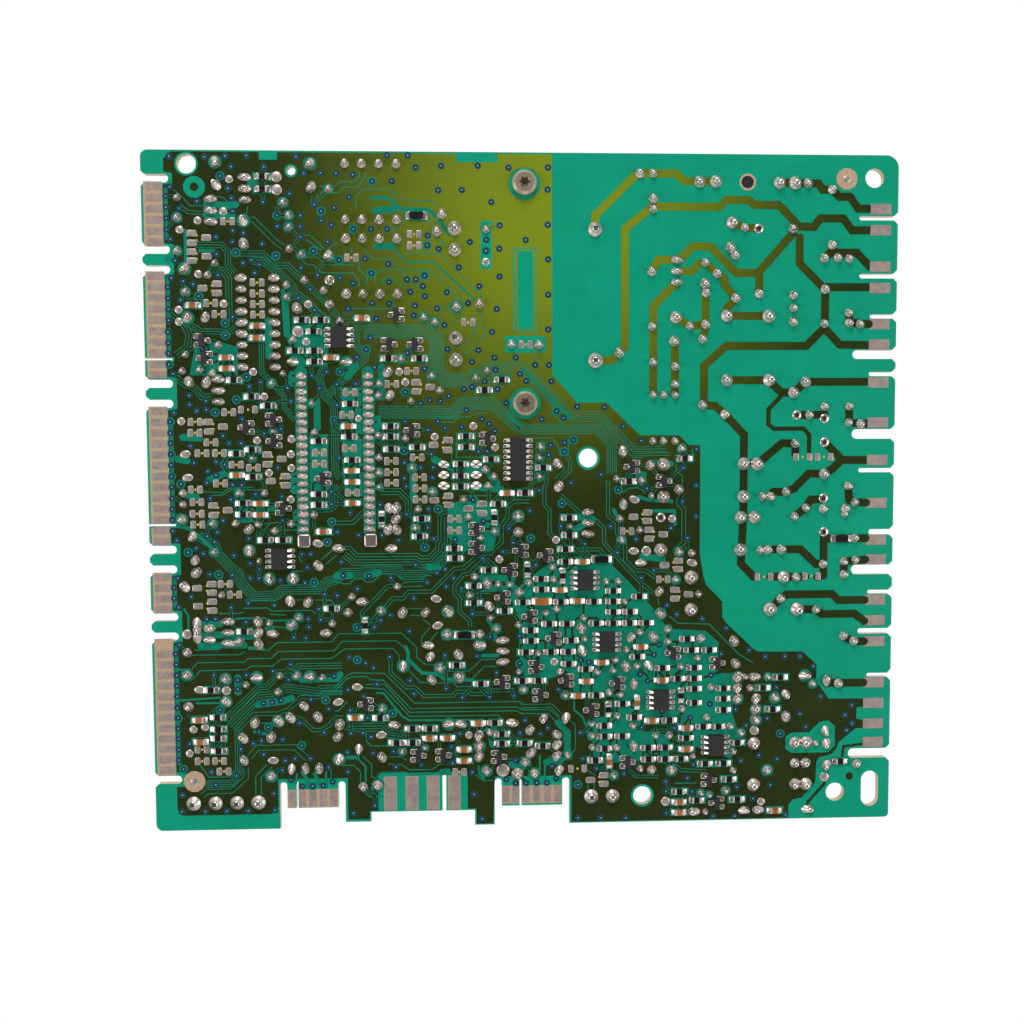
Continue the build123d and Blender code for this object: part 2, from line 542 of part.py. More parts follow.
with BuildPart() as fuse_wire:
    with BuildSketch(FUSE_PLANE.offset(-FUSE_LENGTH / 2 + 0.4)):
        Rectangle(0.25, 0.25)
    extrude(amount=FUSE_LENGTH - 0.8)

with BuildPart() as fuse_holder_base:
    box_at((FUSE,), 26.0, 8.6, UNDERSIDE, UNDERSIDE - 3.0)
    drum_at((FUSE,), 1.35, TOP - 0.1, UNDERSIDE)
    box_at(FUSE_PINS, 0.8, 0.8, UNDERSIDE, UNDERSIDE - 3.0, mode=Mode.SUBTRACT)

with BuildPart() as fuse_clips:
    box_at(FUSE_PINS, 0.8, 0.8, TOP + LEAD_TAIL, UNDERSIDE - 3.0)
    for side in (-1, 1):
        seat = (FUSE[0] + side * 9.4, FUSE[1])
        box_at((seat,), 5.0, 7.0, UNDERSIDE - 3.0, UNDERSIDE - 3.6)
        springs = [(seat[0] - side * 1.6, seat[1] + hand * 2.85) for hand in (-1, 1)]
        box_at(springs, 3.6, 0.5, UNDERSIDE - 3.6, FUSE_AXIS - 2.4)

with BuildPart() as varistor_discs:
    for (x, y), radius, thick in zip(DISCS, (6.0, 4.8), (4.2, 3.6)):
        centre = (CORNER[0] + x, CORNER[1] + y, UNDERSIDE - 1.5 - radius)
        with BuildSketch(Plane(origin=centre, x_dir=(0, 1, 0), z_dir=(1, 0, 0))):
            Circle(radius)
        extrude(amount=thick / 2, both=True)

with BuildPart() as varistor_leads:
    box_at(DISC_LEADS, 0.7, 0.7, TOP + LEAD_TAIL, UNDERSIDE - 4.2)
    for piece in (varistor_discs,):
        add(piece.part, mode=Mode.SUBTRACT)

# ---- Radial and axial parts ----------------------------------------------------------------------

CAN_HEIGHT = 11.0
SEAL = 1.2

with BuildPart() as capacitor_cans:
    drum_at(CANS, 3.15, UNDERSIDE - 0.4 - SEAL, UNDERSIDE - CAN_HEIGHT)

with BuildPart() as capacitor_seals:
    drum_at(CANS, 2.8, UNDERSIDE - 0.4, UNDERSIDE - 0.4 - SEAL)

with BuildPart() as capacitor_leads:
    box_at(pairs(CANS, 0, RADIAL_PITCH - 0.8), 0.5, 1.4, UNDERSIDE, UNDERSIDE - 0.4)

with BuildPart() as film_capacitors:
    box_at(UPRIGHT_FILMS, 3.4, 6.8, UNDERSIDE, UNDERSIDE - 7.0)
    box_at(LEVEL_FILMS, 6.8, 3.4, UNDERSIDE, UNDERSIDE - 7.0)

AXIAL_DROP = UNDERSIDE - 2.2


def rods(radius, length):
    """A level rod at every axial part."""
    for places, turn in ((LEVEL_AXIALS, (0, 90, 0)), (UPRIGHT_AXIALS, (90, 0, 0))):
        with Locations(level(AXIAL_DROP)):
            with Locations(*places):
                Cylinder(radius, length, rotation=turn)


with BuildPart() as axial_resistors:
    rods(1.2, 6.4)

with BuildPart() as axial_resistor_leads:
    box_at(AXIAL_LEADS, 0.6, 0.6, UNDERSIDE, AXIAL_DROP - 0.3)
    reach = AXIAL_PITCH / 2 - 3.2
    inner = pairs(LEVEL_AXIALS, AXIAL_PITCH - reach, 0)
    box_at(inner, reach, 0.6, AXIAL_DROP + 0.3, AXIAL_DROP - 0.3)
    inner = pairs(UPRIGHT_AXIALS, 0, AXIAL_PITCH - reach)
    box_at(inner, 0.6, reach, AXIAL_DROP + 0.3, AXIAL_DROP - 0.3)

# ---- Transistors and regulators --------------------------------------------------------------------

with BuildPart() as transistor_bodies:
    with BuildSketch(level(UNDERSIDE - 3.0)):
        with Locations(*TRANSISTORS):
            Circle(2.4)
        with Locations(*[(x + 2.4, y) for x, y in TRANSISTORS]):
            Rectangle(1.8, 5.0, mode=Mode.SUBTRACT)
    extrude(amount=-4.8)

with BuildPart() as transistor_leads:
    legs = [(x, y + step) for x, y in TRANSISTORS for step in (-1.6, 0, 1.6)]
    box_at(legs, 0.5, 0.5, UNDERSIDE, UNDERSIDE - 3.0)

with BuildPart() as regulator_bodies:
    box_at(REGULATORS, 4.4, 10.0, UNDERSIDE - 3.5, UNDERSIDE - 12.5)

with BuildPart() as regulator_tabs:
    tabs = [(x - 2.85, y) for x, y in REGULATORS]
    box_at(tabs, 1.3, 10.0, UNDERSIDE - 4.0, UNDERSIDE - 18.8)
    for x, y in tabs:
        with Locations(level(UNDERSIDE - 15.9)):
            with Locations((x, y)):
                Cylinder(1.8, 3, rotation=(0, 90, 0), mode=Mode.SUBTRACT)

with BuildPart() as regulator_leads:
    legs = [(x, y + step) for x, y in REGULATORS for step in (-PITCH, 0, PITCH)]
    box_at(legs, 0.5, 0.8, UNDERSIDE, UNDERSIDE - 3.5)

# ---- Terminal blocks ---------------------------------------------------------------------------------

TERMINAL_PITCH = 5.08
BLOCK_HEIGHT = 10.5
BLOCK_DEPTH = 8.6
BLOCKS = (TERMINALS[:4], TERMINALS[4:])

with BuildPart() as terminal_housings:
    for ways in BLOCKS:
        centre = (ways[0] + ways[-1]) / 2
        box_at(((centre, TERMINAL_LINE),), len(ways) * TERMINAL_PITCH, BLOCK_DEPTH,
               UNDERSIDE, UNDERSIDE - BLOCK_HEIGHT)
    box_at(grid(TERMINALS, (TERMINAL_LINE - 1.0,)), 4.0, BLOCK_DEPTH,
           UNDERSIDE - 1.2, UNDERSIDE - 6.2, mode=Mode.SUBTRACT)
    drum_at(TERMINAL_PINS, 1.9, UNDERSIDE - 6.0, UNDERSIDE - BLOCK_HEIGHT - 1, mode=Mode.SUBTRACT)
    box_at(TERMINAL_PINS, 1.0, 1.0, UNDERSIDE + 1, UNDERSIDE - 1.5, mode=Mode.SUBTRACT)

with BuildPart() as terminal_clamps:
    box_at(TERMINAL_PINS, 3.8, 4.6, UNDERSIDE - 1.2, UNDERSIDE - 6.0)
    box_at(TERMINAL_PINS, 2.8, 6.0, UNDERSIDE - 2.0, UNDERSIDE - 5.0, mode=Mode.SUBTRACT)
    box_at(TERMINAL_PINS, 1.0, 1.0, TOP + LEAD_TAIL + 0.2, UNDERSIDE - 1.2)

with BuildPart() as terminal_screws:
    drum_at(TERMINAL_PINS, 1.8, UNDERSIDE - 6.0, UNDERSIDE - 8.2)
    box_at(TERMINAL_PINS, 0.6, 5.0, UNDERSIDE - 7.2, UNDERSIDE - 9.0, mode=Mode.SUBTRACT)

# ---- Surface mounted parts on the solder side --------------------------------------------------------

FOOT = 0.15
IC_PITCH = 1.27


def gull_lead(reach, rise, width):
    """One gull wing lead: a thin slope from the body out to the right and down to the board."""
    section = [(0, rise), (0, rise - FOOT), (reach - FOOT, 0), (reach, 0)]
    with BuildPart() as lead:
        with BuildSketch(Plane.XZ):
            Polygon(*section, align=None)
        extrude(amount=width / 2, both=True)
    return lead.part


IC_LEAD = gull_lead(1.15, 0.95, 0.42)
CHIP_LEAD = gull_lead(0.6, 0.6, 0.42)


def leads_at(places, lead, hand):
    """The same lead at each place, pointing right (1) or left (-1)."""
    with Locations(level(TOP)):
        with Locations(*[Location((x, y, 0), (0, 0, 90 - 90 * hand)) for x, y in places]):
            add(lead)


def ic_rows(place, count, half):
    """Heights of the leads on either side of a gull wing package."""
    x, y = place
    ys = pitched(y - (count - 1) * IC_PITCH / 2, IC_PITCH, count)
    return [(x - half, v) for v in ys], [(x + half, v) for v in ys]


IC_WIDTH = 3.9
IC_HEIGHT = 1.5
ICS = tuple((place, 4) for place in SMALL_ICS) + ((LOGIC_IC, 8),)

with BuildPart() as small_ic_bodies:
    for place, count in ICS:
        with BuildSketch(level(TOP + 0.15)):
            with Locations(place):
                Rectangle(IC_WIDTH, count * IC_PITCH - 0.1)
        extrude(amount=IC_HEIGHT, taper=6)

with BuildPart() as small_ic_leads:
    for place, count in ICS:
        left, right = ic_rows(place, count, IC_WIDTH / 2 - 0.08)
        leads_at(left, IC_LEAD, -1)
        leads_at(right, IC_LEAD, 1)
    add(small_ic_bodies.part, mode=Mode.SUBTRACT)

CHIP_BODY = (1.3, 2.9, 0.95)

with BuildPart() as transistor_chips:
    box_at(SINGLE_LEFT + SINGLE_RIGHT, CHIP_BODY[0], CHIP_BODY[1], TOP + 0.1 + CHIP_BODY[2], TOP + 0.1)

with BuildPart() as transistor_chip_leads:
    half = CHIP_BODY[0] / 2
    for places, lone in ((SINGLE_LEFT, -1), (SINGLE_RIGHT, 1)):
        leads_at([(x + lone * half, y) for x, y in places], CHIP_LEAD, lone)
        both = [(x - lone * half, y + s * 0.95) for x, y in places for s in (-1, 1)]
        leads_at(both, CHIP_LEAD, -lone)


def chips(places, length, width, height, turned=False):
    """Two-ended chips, flat on the board."""
    size = (width, length) if turned else (length, width)
    box_at(places, *size, TOP + height, TOP)


with BuildPart() as chip_resistors:
    chips(places_of(RESISTOR_ROWS), 2.0, 1.25, 0.5)
    chips(RESISTOR_TURNED, 2.0, 1.25, 0.5, turned=True)
    chips(RESISTOR_LARGE, 3.2, 1.6, 0.55)

with BuildPart() as chip_capacitors:
    chips(places_of(CAPACITOR_ROWS), 2.0, 1.25, 0.9)
    chips(CAPACITOR_TURNED, 2.0, 1.25, 0.9, turned=True)
    chips(CAPACITOR_LARGE, 3.2, 1.6, 1.1)

# ---- Export --------------------------------------------------------------------------------------------

NODES = {
    "circuit_board": circuit_board,
    "signal_contacts": signal_contacts,
    "mains_contacts": mains_contacts,
    "transformer_housing": transformer_housing,
    "transformer_potting": transformer_potting,
    "transformer_core": transformer_core,
    "transformer_bobbin": transformer_bobbin,
    "transformer_primary_winding": transformer_primary_winding,
    "transformer_secondary_winding": transformer_secondary_winding,
    "transformer_pins": transformer_pins,
    "transformer_screws": transformer_screws,
    "pulse_transformer_bobbins": pulse_bobbins_drilled,
    "pulse_transformer_cores": pulse_transformer_cores,
    "pulse_transformer_windings": pulse_transformer_windings,
    "pulse_transformer_pins": pulse_transformer_pins,
    "microcontroller_body": microcontroller_body,
    "microcontroller_leads": microcontroller_leads,
    "driver_body": driver_body,
    "driver_leads": driver_leads,
    "optocoupler_bodies": optocoupler_bodies,
    "optocoupler_leads": optocoupler_leads,
    "relay_covers": relay_covers,
    "relay_bases": relay_bases,
    "relay_coils": relay_coils,
    "relay_cores": relay_cores,
    "relay_armatures": relay_armatures,
    "relay_pins": relay_pins,
    "suppression_capacitors": suppression_capacitors,
    "suppression_capacitor_leads": suppression_capacitor_leads,
    "fuse_glass": fuse_glass,
    "fuse_caps": fuse_caps,
    "fuse_wire": fuse_wire,
    "fuse_holder_base": fuse_holder_base,
    "fuse_clips": fuse_clips,
    "varistor_discs": varistor_discs,
    "varistor_leads": varistor_leads,
    "capacitor_cans": capacitor_cans,
    "capacitor_seals": capacitor_seals,
    "capacitor_leads": capacitor_leads,
    "film_capacitors": film_capacitors,
    "axial_resistors": axial_resistors,
    "axial_resistor_leads": axial_resistor_leads,
    "transistor_bodies": transistor_bodies,
    "transistor_leads": transistor_leads,
    "regulator_bodies": regulator_bodies,
    "regulator_tabs": regulator_tabs,
    "regulator_leads": regulator_leads,
    "terminal_housings": terminal_housings,
    "terminal_clamps": terminal_clamps,
    "terminal_screws": terminal_screws,
    "small_ic_bodies": small_ic_bodies,
    "small_ic_leads": small_ic_leads,
    "transistor_chips": transistor_chips,
    "transistor_chip_leads": transistor_chip_leads,
    "chip_resistors": chip_resistors,
    "chip_capacitors": chip_capacitors,
}

for name, node in NODES.items():
    node.part.label = name
    export_step(node.part, f"parts/{name}.step")
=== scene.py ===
# %% [markdown]
# # A boiler control board, solder side up
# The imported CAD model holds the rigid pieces: the laminate, its edge contacts, every chip and every leaded
# part. This lesson adds what a drawing leaves out: copper under green solder mask, vias, pads and several
# hundred solder joints, and it gives every piece a finish. The frame is loaded first, and its box is kept,
# because the finished model may not grow past it.
# %% Load the frame
import math
import random
import bmesh
import bpy
from mathutils import Matrix, Quaternion, Vector


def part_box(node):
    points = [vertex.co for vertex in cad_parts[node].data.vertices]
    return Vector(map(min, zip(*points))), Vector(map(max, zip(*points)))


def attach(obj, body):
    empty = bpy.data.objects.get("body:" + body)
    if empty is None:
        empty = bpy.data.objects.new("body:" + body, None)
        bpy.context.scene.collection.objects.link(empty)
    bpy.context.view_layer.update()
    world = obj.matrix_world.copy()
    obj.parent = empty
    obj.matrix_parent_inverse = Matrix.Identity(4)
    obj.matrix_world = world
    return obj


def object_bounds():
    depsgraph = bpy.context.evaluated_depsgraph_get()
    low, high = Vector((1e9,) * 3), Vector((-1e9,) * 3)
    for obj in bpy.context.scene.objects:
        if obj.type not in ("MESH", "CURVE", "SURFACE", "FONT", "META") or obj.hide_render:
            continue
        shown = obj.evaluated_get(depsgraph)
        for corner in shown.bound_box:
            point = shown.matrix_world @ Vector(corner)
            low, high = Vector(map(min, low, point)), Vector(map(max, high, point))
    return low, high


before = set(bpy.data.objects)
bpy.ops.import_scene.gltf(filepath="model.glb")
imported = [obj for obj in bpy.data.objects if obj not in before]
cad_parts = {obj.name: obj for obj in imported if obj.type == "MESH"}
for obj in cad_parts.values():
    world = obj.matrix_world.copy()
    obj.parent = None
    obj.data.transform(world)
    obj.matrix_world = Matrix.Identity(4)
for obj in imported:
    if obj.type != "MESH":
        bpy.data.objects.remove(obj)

cad_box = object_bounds()
MM = 0.001
low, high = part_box("circuit_board")
CORNER = Vector((low[0], low[1], high[2]))
SIZE = [round((b - a) / MM, 1) for a, b in zip(low, high)]
random.seed(7)
print("board", SIZE, "mm, nodes", len(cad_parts))


# %% [markdown]
# Places on the board are told in millimetres from its lower left corner, as a layout drawing does. One
# helper turns such a place into the frame's metres, on the board's upper face.
# %% Places on the board
def spot(x, y, z=0.0):
    """A place in mm from the board's lower left corner and above its upper face, in metres."""
    return CORNER + Vector((x, y, z)) * MM


def islands(name):
    """The loose solids of a CAD node as (centre x, centre y, width, depth) in mm from the board's corner."""
    bm = bmesh.new()
    bm.from_mesh(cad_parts[name].data)
    bmesh.ops.remove_doubles(bm, verts=bm.verts, dist=1e-6)
    seen = set()
    found = []
    for start in bm.verts:
        if start.index in seen:
            continue
        seen.add(start.index)
        stack = [start]
        box = [1e9, 1e9, -1e9, -1e9]
        while stack:
            v = stack.pop()
            x, y, z = (v.co - CORNER) / MM
            box = [min(box[0], x), min(box[1], y), max(box[2], x), max(box[3], y)]
            for edge in v.link_edges:
                other = edge.other_vert(v)
                if other.index not in seen:
                    seen.add(other.index)
                    stack.append(other)
        found.append(((box[0] + box[2]) / 2, (box[1] + box[3]) / 2, box[2] - box[0], box[3] - box[1]))
    bm.free()
    return found


print("microcontroller legs found", len(islands("microcontroller_leads")))


# %% [markdown]
# A piece is finished when its mesh stands in the frame and rides on the board. Small things that repeat,
# such as joints and vias, are modelled once as a template with a few dozen faces and stamped at every
# place, so the file stays small and every copy can still be turned or stretched a little.
# %% Helpers for pieces
def piece(name, bm, finish, smooth=False):
    """Turns a bmesh into a piece of the object that rides on the board."""
    mesh = bpy.data.meshes.new(name)
    bmesh.ops.recalc_face_normals(bm, faces=bm.faces)
    bm.to_mesh(mesh)
    bm.free()
    mesh.polygons.foreach_set("use_smooth", [smooth] * len(mesh.polygons))
    obj = bpy.data.objects.new(name, mesh)
    bpy.context.scene.collection.objects.link(obj)
    mesh.materials.append(finish)
    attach(obj, "root")
    print(name, len(mesh.polygons), "faces")
    return obj


def template(bm):
    """Keeps a small bmesh as a mesh that stamp() can copy."""
    mesh = bpy.data.meshes.new("template")
    bm.to_mesh(mesh)
    bm.free()
    return mesh


def stamp(bm, shape, x, y, z=0.0, size=(1, 1, 1), turn=0.0, lean=0.0):
    """Adds a copy of a template at a place in mm, scaled, leaned along its own x, and turned in degrees."""
    copy = shape.copy()
    leaned = Matrix(((1, 0, lean, 0), (0, 1, 0, 0), (0, 0, 1, 0), (0, 0, 0, 1)))
    scaled = Matrix.Diagonal((size[0] * MM, size[1] * MM, size[2] * MM, 1))
    turned_by = Matrix.Rotation(math.radians(turn), 4, "Z")
    copy.transform(Matrix.Translation(spot(x, y, z)) @ turned_by @ scaled @ leaned)
    bm.from_mesh(copy)
    bpy.data.meshes.remove(copy)


def plate(sides=12):
    """A flat disc or, with four sides, a square of unit width and unit thickness."""
    bm = bmesh.new()
    radius = 0.5 if sides > 4 else math.sqrt(0.5)
    bmesh.ops.create_circle(bm, cap_ends=True, radius=radius, segments=sides)
    turn = Matrix.Rotation(math.pi / sides, 3, "Z")
    bmesh.ops.rotate(bm, verts=bm.verts, cent=(0, 0, 0), matrix=turn)
    raised = bmesh.ops.extrude_face_region(bm, geom=bm.faces[:])
    lifted = [g for g in raised["geom"] if isinstance(g, bmesh.types.BMVert)]
    bmesh.ops.translate(bm, verts=lifted, vec=(0, 0, 1))
    return template(bm)


def turned(profile, steps=12):
    """A closed body of revolution from (radius, height) points that start and end on the axis."""
    bm = bmesh.new()
    points = [bm.verts.new((r, 0, z)) for r, z in profile]
    edges = [bm.edges.new(pair) for pair in zip(points, points[1:])]
    bmesh.ops.spin(bm, geom=points + edges, cent=(0, 0, 0), axis=(0, 0, 1), angle=math.tau, steps=steps,
                   use_merge=True)
    bmesh.ops.remove_doubles(bm, verts=bm.verts, dist=1e-5)
    bmesh.ops.recalc_face_normals(bm, faces=bm.faces)
    return template(bm)


DISC = plate(12)
RUN = plate(8)
SQUARE = plate(4)
JOINT = turned([(0, 0), (1.0, 0), (0.93, 0.16), (0.68, 0.42), (0.5, 0.72), (0.42, 0.95), (0.24, 1.06),
                (0, 1.1)])
DOME = turned([(0, 0), (1.0, 0), (0.95, 0.35), (0.72, 0.72), (0.4, 0.95), (0, 1.0)])


def soften(bm, edges, offset):
    """Rounds these edges of a template in two steps."""
    bmesh.ops.bevel(bm, geom=edges, offset=offset, offset_type="OFFSET", segments=2, profile=0.5,
                    affect="EDGES", material=-1)


def pillow():
    """A square pad of unit width and height whose top edge is rounded by surface tension."""
    bm = bmesh.new()
    bmesh.ops.create_cube(bm, size=1.0, matrix=Matrix.Translation((0, 0, 0.5)))
    raised = [e for e in bm.edges if max(v.co.z for v in e.verts) > 0.5]
    soften(bm, raised, 0.17)
    return template(bm)


PILLOW = pillow()
print("templates", [len(t.polygons) for t in (DISC, SQUARE, JOINT, DOME)])


# %% [markdown]
# A track or a gap between copper areas is a strip of one width that turns in straight runs. Each run is a
# disc whose two halves are pulled apart, so its ends are round as a plotter draws them. Neighbouring runs
# differ in height by a fraction of a thousandth of a millimetre, so that their faces do not share a plane
# where they meet.
# %% Strips
def strip(bm, route, width, bottom, top):
    """A strip of rounded runs along the route, between two heights in mm."""
    for i, (a, b) in enumerate(zip(route, route[1:])):
        along = Vector((b[0] - a[0], b[1] - a[1]))
        run = RUN.copy()
        run.transform(Matrix.Diagonal((width, width, top - bottom + 0.0003 * (i % 3), 1)))
        for v in run.vertices:
            v.co.x += math.copysign(along.length / 2, v.co.x)
        place = Matrix.Translation(spot((a[0] + b[0]) / 2, (a[1] + b[1]) / 2, bottom))
        run.transform(place @ Matrix.Rotation(math.atan2(along.y, along.x), 4, "Z") @ Matrix.Scale(MM, 4))
        bm.from_mesh(run)
        bpy.data.meshes.remove(run)


def area(bm, outline, bottom, top, holes=()):
    """A flat area from its outline, with round holes (x, y, radius), between two heights in mm."""
    ring = [bm.verts.new(spot(x, y, bottom)) for x, y in outline]
    edges = [bm.edges.new(pair) for pair in zip(ring, ring[1:] + ring[:1])]
    for x, y, radius in holes:
        made = bmesh.ops.create_circle(bm, cap_ends=False, radius=radius * MM, segments=24,
                                       matrix=Matrix.Translation(spot(x, y, bottom)))["verts"]
        edges += list(dict.fromkeys(e for v in made for e in v.link_edges))
    filled = bmesh.ops.triangle_fill(bm, use_beauty=True, use_dissolve=False, edges=edges)["geom"]
    faces = [g for g in filled if isinstance(g, bmesh.types.BMFace)]
    lifted = bmesh.ops.extrude_face_region(bm, geom=faces)["geom"]
    lifted = [g for g in lifted if isinstance(g, bmesh.types.BMVert)]
    bmesh.ops.translate(bm, verts=lifted, vec=(0, 0, (top - bottom) * MM))


# %% [markdown]
# Every finish is a Principled shader whose colour, roughness and relief vary a little through noise at a
# real grain size. Colours are written as sRGB hex and turned to linear in one place.
# %% Finishes
def linear(code):
    """An sRGB hex colour as linear red, green, blue, alpha."""
    parts = [int(code[i:i + 2], 16) / 255 for i in (1, 3, 5)]
    return tuple(c / 12.92 if c <= 0.04045 else ((c + 0.055) / 1.055) ** 2.4 for c in parts) + (1.0,)


def add(tree, kind, inputs=None, **settings):
    """Adds one node with its settings; an input is a value or another node's socket."""
    made = tree.nodes.new(kind)
    for key, value in settings.items():
        setattr(made, key, value)
    for key, value in (inputs or {}).items():
        if isinstance(value, bpy.types.NodeSocket):
            tree.links.new(value, made.inputs[key])
        else:
            made.inputs[key].default_value = value
    return made


def begin(name, **shader):
    """A new material with its tree, shader and object coordinates."""
    material = bpy.data.materials.new(name)
    material.use_nodes = True
    tree = material.node_tree
    tree.nodes.clear()
    surface = add(tree, "ShaderNodeBsdfPrincipled", {k.replace("_", " "): v for k, v in shader.items()})
    add(tree, "ShaderNodeOutputMaterial", {"Surface": surface.outputs[0]})
    place = add(tree, "ShaderNodeTexCoord").outputs["Object"]
    return material, tree, surface, place


def finish(name, light, dark, grain, rough, relief=0.0, metal=0.0, ior=1.5, spread=0.08, **shader):
    """A finish whose colour runs between two hex codes and whose grain is in mm."""
    fixed = dict(Metallic=metal, **shader)
    if not metal:
        fixed["IOR"] = ior
    material, tree, surface, place = begin(name, **fixed)
    noise = add(tree, "ShaderNodeTexNoise", {"Vector": place, "Scale": 1 / (grain * MM), "Detail": 3.0})
    colour = add(tree, "ShaderNodeMix", {"Factor": noise.outputs[0]}, data_type="RGBA")
    colour.inputs[6].default_value = linear(dark)
    colour.inputs[7].default_value = linear(light)
    tree.links.new(colour.outputs[2], surface.inputs["Base Color"])
    matte = add(tree, "ShaderNodeMapRange", {"Value": noise.outputs[0], "To Min": rough - spread,
                                             "To Max": rough + spread})
    tree.links.new(matte.outputs[0], surface.inputs["Roughness"])
    if relief:
        bump = add(tree, "ShaderNodeBump", {"Height": noise.outputs[0], "Strength": 0.5,
                                            "Distance": relief * MM})
        tree.links.new(bump.outputs[0], surface.inputs["Normal"])
    return material


# tinned solder: bright, a little wavy where it froze
SOLDER = finish("tin_lead_solder", "#E6DDD6", "#B5ABA4", 2.2, 0.29, relief=0.03, metal=0.9, spread=0.05)
TINNED = finish("tinned_copper", "#ECE7E1", "#BEB7B1", 0.5, 0.26, relief=0.01, metal=1.0)
FLAT_TIN = finish("levelled_tin_pad", "#D9CFC8", "#A89D98", 1.2, 0.4, relief=0.02, metal=0.75)
CHIP_END = finish("fired_silver_chip_end", "#E6DFD7", "#C9C0B8", 0.6, 0.4, relief=0.01, metal=0.35)
CONTACT = finish("worn_contact_tin", "#B9A8A0", "#857571", 1.4, 0.5, relief=0.01, metal=0.35)
LAMINATE = finish("bare_epoxy_glass", "#C2A98C", "#9C8366", 0.5, 0.55, relief=0.01)
GLUE = finish("yellow_chip_glue", "#D6C24A", "#A3982E", 0.4, 0.45, relief=0.02)
MOULDED = finish("epoxy_moulding_compound", "#2B2A2C", "#161517", 0.15, 0.55, relief=0.01)
GLAZED = finish("glazed_resistor_film", "#201E1F", "#0D0C0D", 0.3, 0.3, relief=0.005)
VIA_RING = finish("mask_over_via", "#11566A", "#0B3B4C", 0.5, 0.3, relief=0.01)
VIA_WELL = finish("mask_in_via_well", "#0A2A3A", "#071C28", 0.5, 0.4, relief=0.01)
VIA_CENTRE = finish("plugged_via", "#8FB0BC", "#5F8796", 0.3, 0.35, relief=0.02)
NICKEL = finish("nickel_plated_steel", "#C9BAA3", "#9A8B73", 0.7, 0.38, relief=0.01, metal=0.8)
print("first finishes ready")


# %% [markdown]
# Solder mask is a green lacquer a few hundredths of a millimetre thick over woven glass and epoxy. The
# weave shows through it as a fine square grid. Two crossed bands at the pitch of the glass threads give
# the grid in colour and in relief. The same lacquer over copper looks olive, because the copper behind it
# is warm. Over copper, a yellow-olive painted sheen brightens the colour round one place near the top of
# the board; it is a painted reflection of the lamps.
# %% Solder mask
# centre in mm and reach in metres of a painted sheen, a painted lamp reflection on the copper
PAINTED_SHEEN_CENTRE = (96, 144)
PAINTED_SHEEN_NEAR = 0.004
PAINTED_SHEEN_FAR = 0.072
THREAD_PITCH = 0.55


def masked(name, light, dark, glow=None, weave=0.16, rough=0.24):
    """Green lacquer over laminate or over copper, with the glass weave in it and, over copper, a painted
    sheen (a painted lamp reflection) in the glow colour.
    """
    material, tree, surface, place = begin(name, IOR=1.5)
    noise = add(tree, "ShaderNodeTexNoise", {"Vector": place, "Scale": 1 / (9 * MM), "Detail": 4.0})
    colour = add(tree, "ShaderNodeMix", {"Factor": noise.outputs[0]}, data_type="RGBA")
    colour.inputs[6].default_value = linear(dark)
    colour.inputs[7].default_value = linear(light)
    shade = colour.outputs[2]
    # painted sheen: near one place the colour is mixed towards the glow colour, a painted reflection of the
    # lamps
    if glow:
        distance_to_painted_sheen = add(tree, "ShaderNodeVectorMath", {0: place, 1: spot(*PAINTED_SHEEN_CENTRE)}, operation="DISTANCE")
        reach = {"Value": distance_to_painted_sheen.outputs["Value"], "From Min": PAINTED_SHEEN_NEAR, "From Max": PAINTED_SHEEN_FAR, "To Min": 1.0,
                 "To Max": 0.0}
        near = add(tree, "ShaderNodeMapRange", reach, interpolation_type="SMOOTHSTEP")
        mixed = add(tree, "ShaderNodeMix", {"Factor": near.outputs[0], 6: shade}, data_type="RGBA")
        mixed.inputs[7].default_value = linear(glow)
        shade = mixed.outputs[2]
    threads = []
    for direction in ("X", "Y"):
        band = add(tree, "ShaderNodeTexWave", {"Vector": place, "Scale": math.tau / 20 / (THREAD_PITCH * MM),
                                               "Distortion": 0.6, "Detail": 1.0}, bands_direction=direction)
        threads.append(band.outputs["Fac"])
    grid = add(tree, "ShaderNodeMath", {0: threads[0], 1: threads[1]}, operation="MULTIPLY")
    level = add(tree, "ShaderNodeMapRange", {"Value": grid.outputs[0], "To Min": 1 - weave,
                                             "To Max": 1 + weave})
    woven = add(tree, "ShaderNodeVectorMath", {0: shade, "Scale": level.outputs[0]}, operation="SCALE")
    tree.links.new(woven.outputs[0], surface.inputs["Base Color"])
    surface.inputs["Roughness"].default_value = rough
    bump = add(tree, "ShaderNodeBump", {"Height": grid.outputs[0], "Strength": 0.35, "Distance": 0.02 * MM})
    tree.links.new(bump.outputs[0], surface.inputs["Normal"])
    return material, tree, surface, woven


MASK = masked("green_mask_on_laminate", "#0BA582", "#089070")[0]
# the olive is the real colour of mask over copper; #7C8E1B is a painted sheen, a painted lamp reflection
# near the top of the board
OLIVE = masked("green_mask_on_copper", "#2F3B14", "#1E280C", glow="#7C8E1B", weave=0.05)[0]
TEAL = masked("green_mask_in_gaps", "#0E8C6F", "#0A6E57", weave=0.04)[0]


def laminate():
    """The board itself: green mask on its two faces, tan epoxy glass on every cut edge."""
    material, tree, surface, woven = masked("masked_board", "#0BA582", "#089070")
    facing = add(tree, "ShaderNodeTexCoord").outputs["Normal"]
    split = add(tree, "ShaderNodeSeparateXYZ", {"Vector": facing})
    upright = add(tree, "ShaderNodeMath", {0: split.outputs["Z"]}, operation="ABSOLUTE")
    flat = add(tree, "ShaderNodeMath", {0: upright.outputs[0], 1: 0.5}, operation="GREATER_THAN")
    mixed = add(tree, "ShaderNodeMix", {"Factor": flat.outputs[0], 7: woven.outputs[0]}, data_type="RGBA")
    mixed.inputs[6].default_value = linear("#C9AF86")
    tree.links.new(mixed.outputs[2], surface.inputs["Base Color"])
    return material


BOARD = laminate()
print("mask finishes ready")

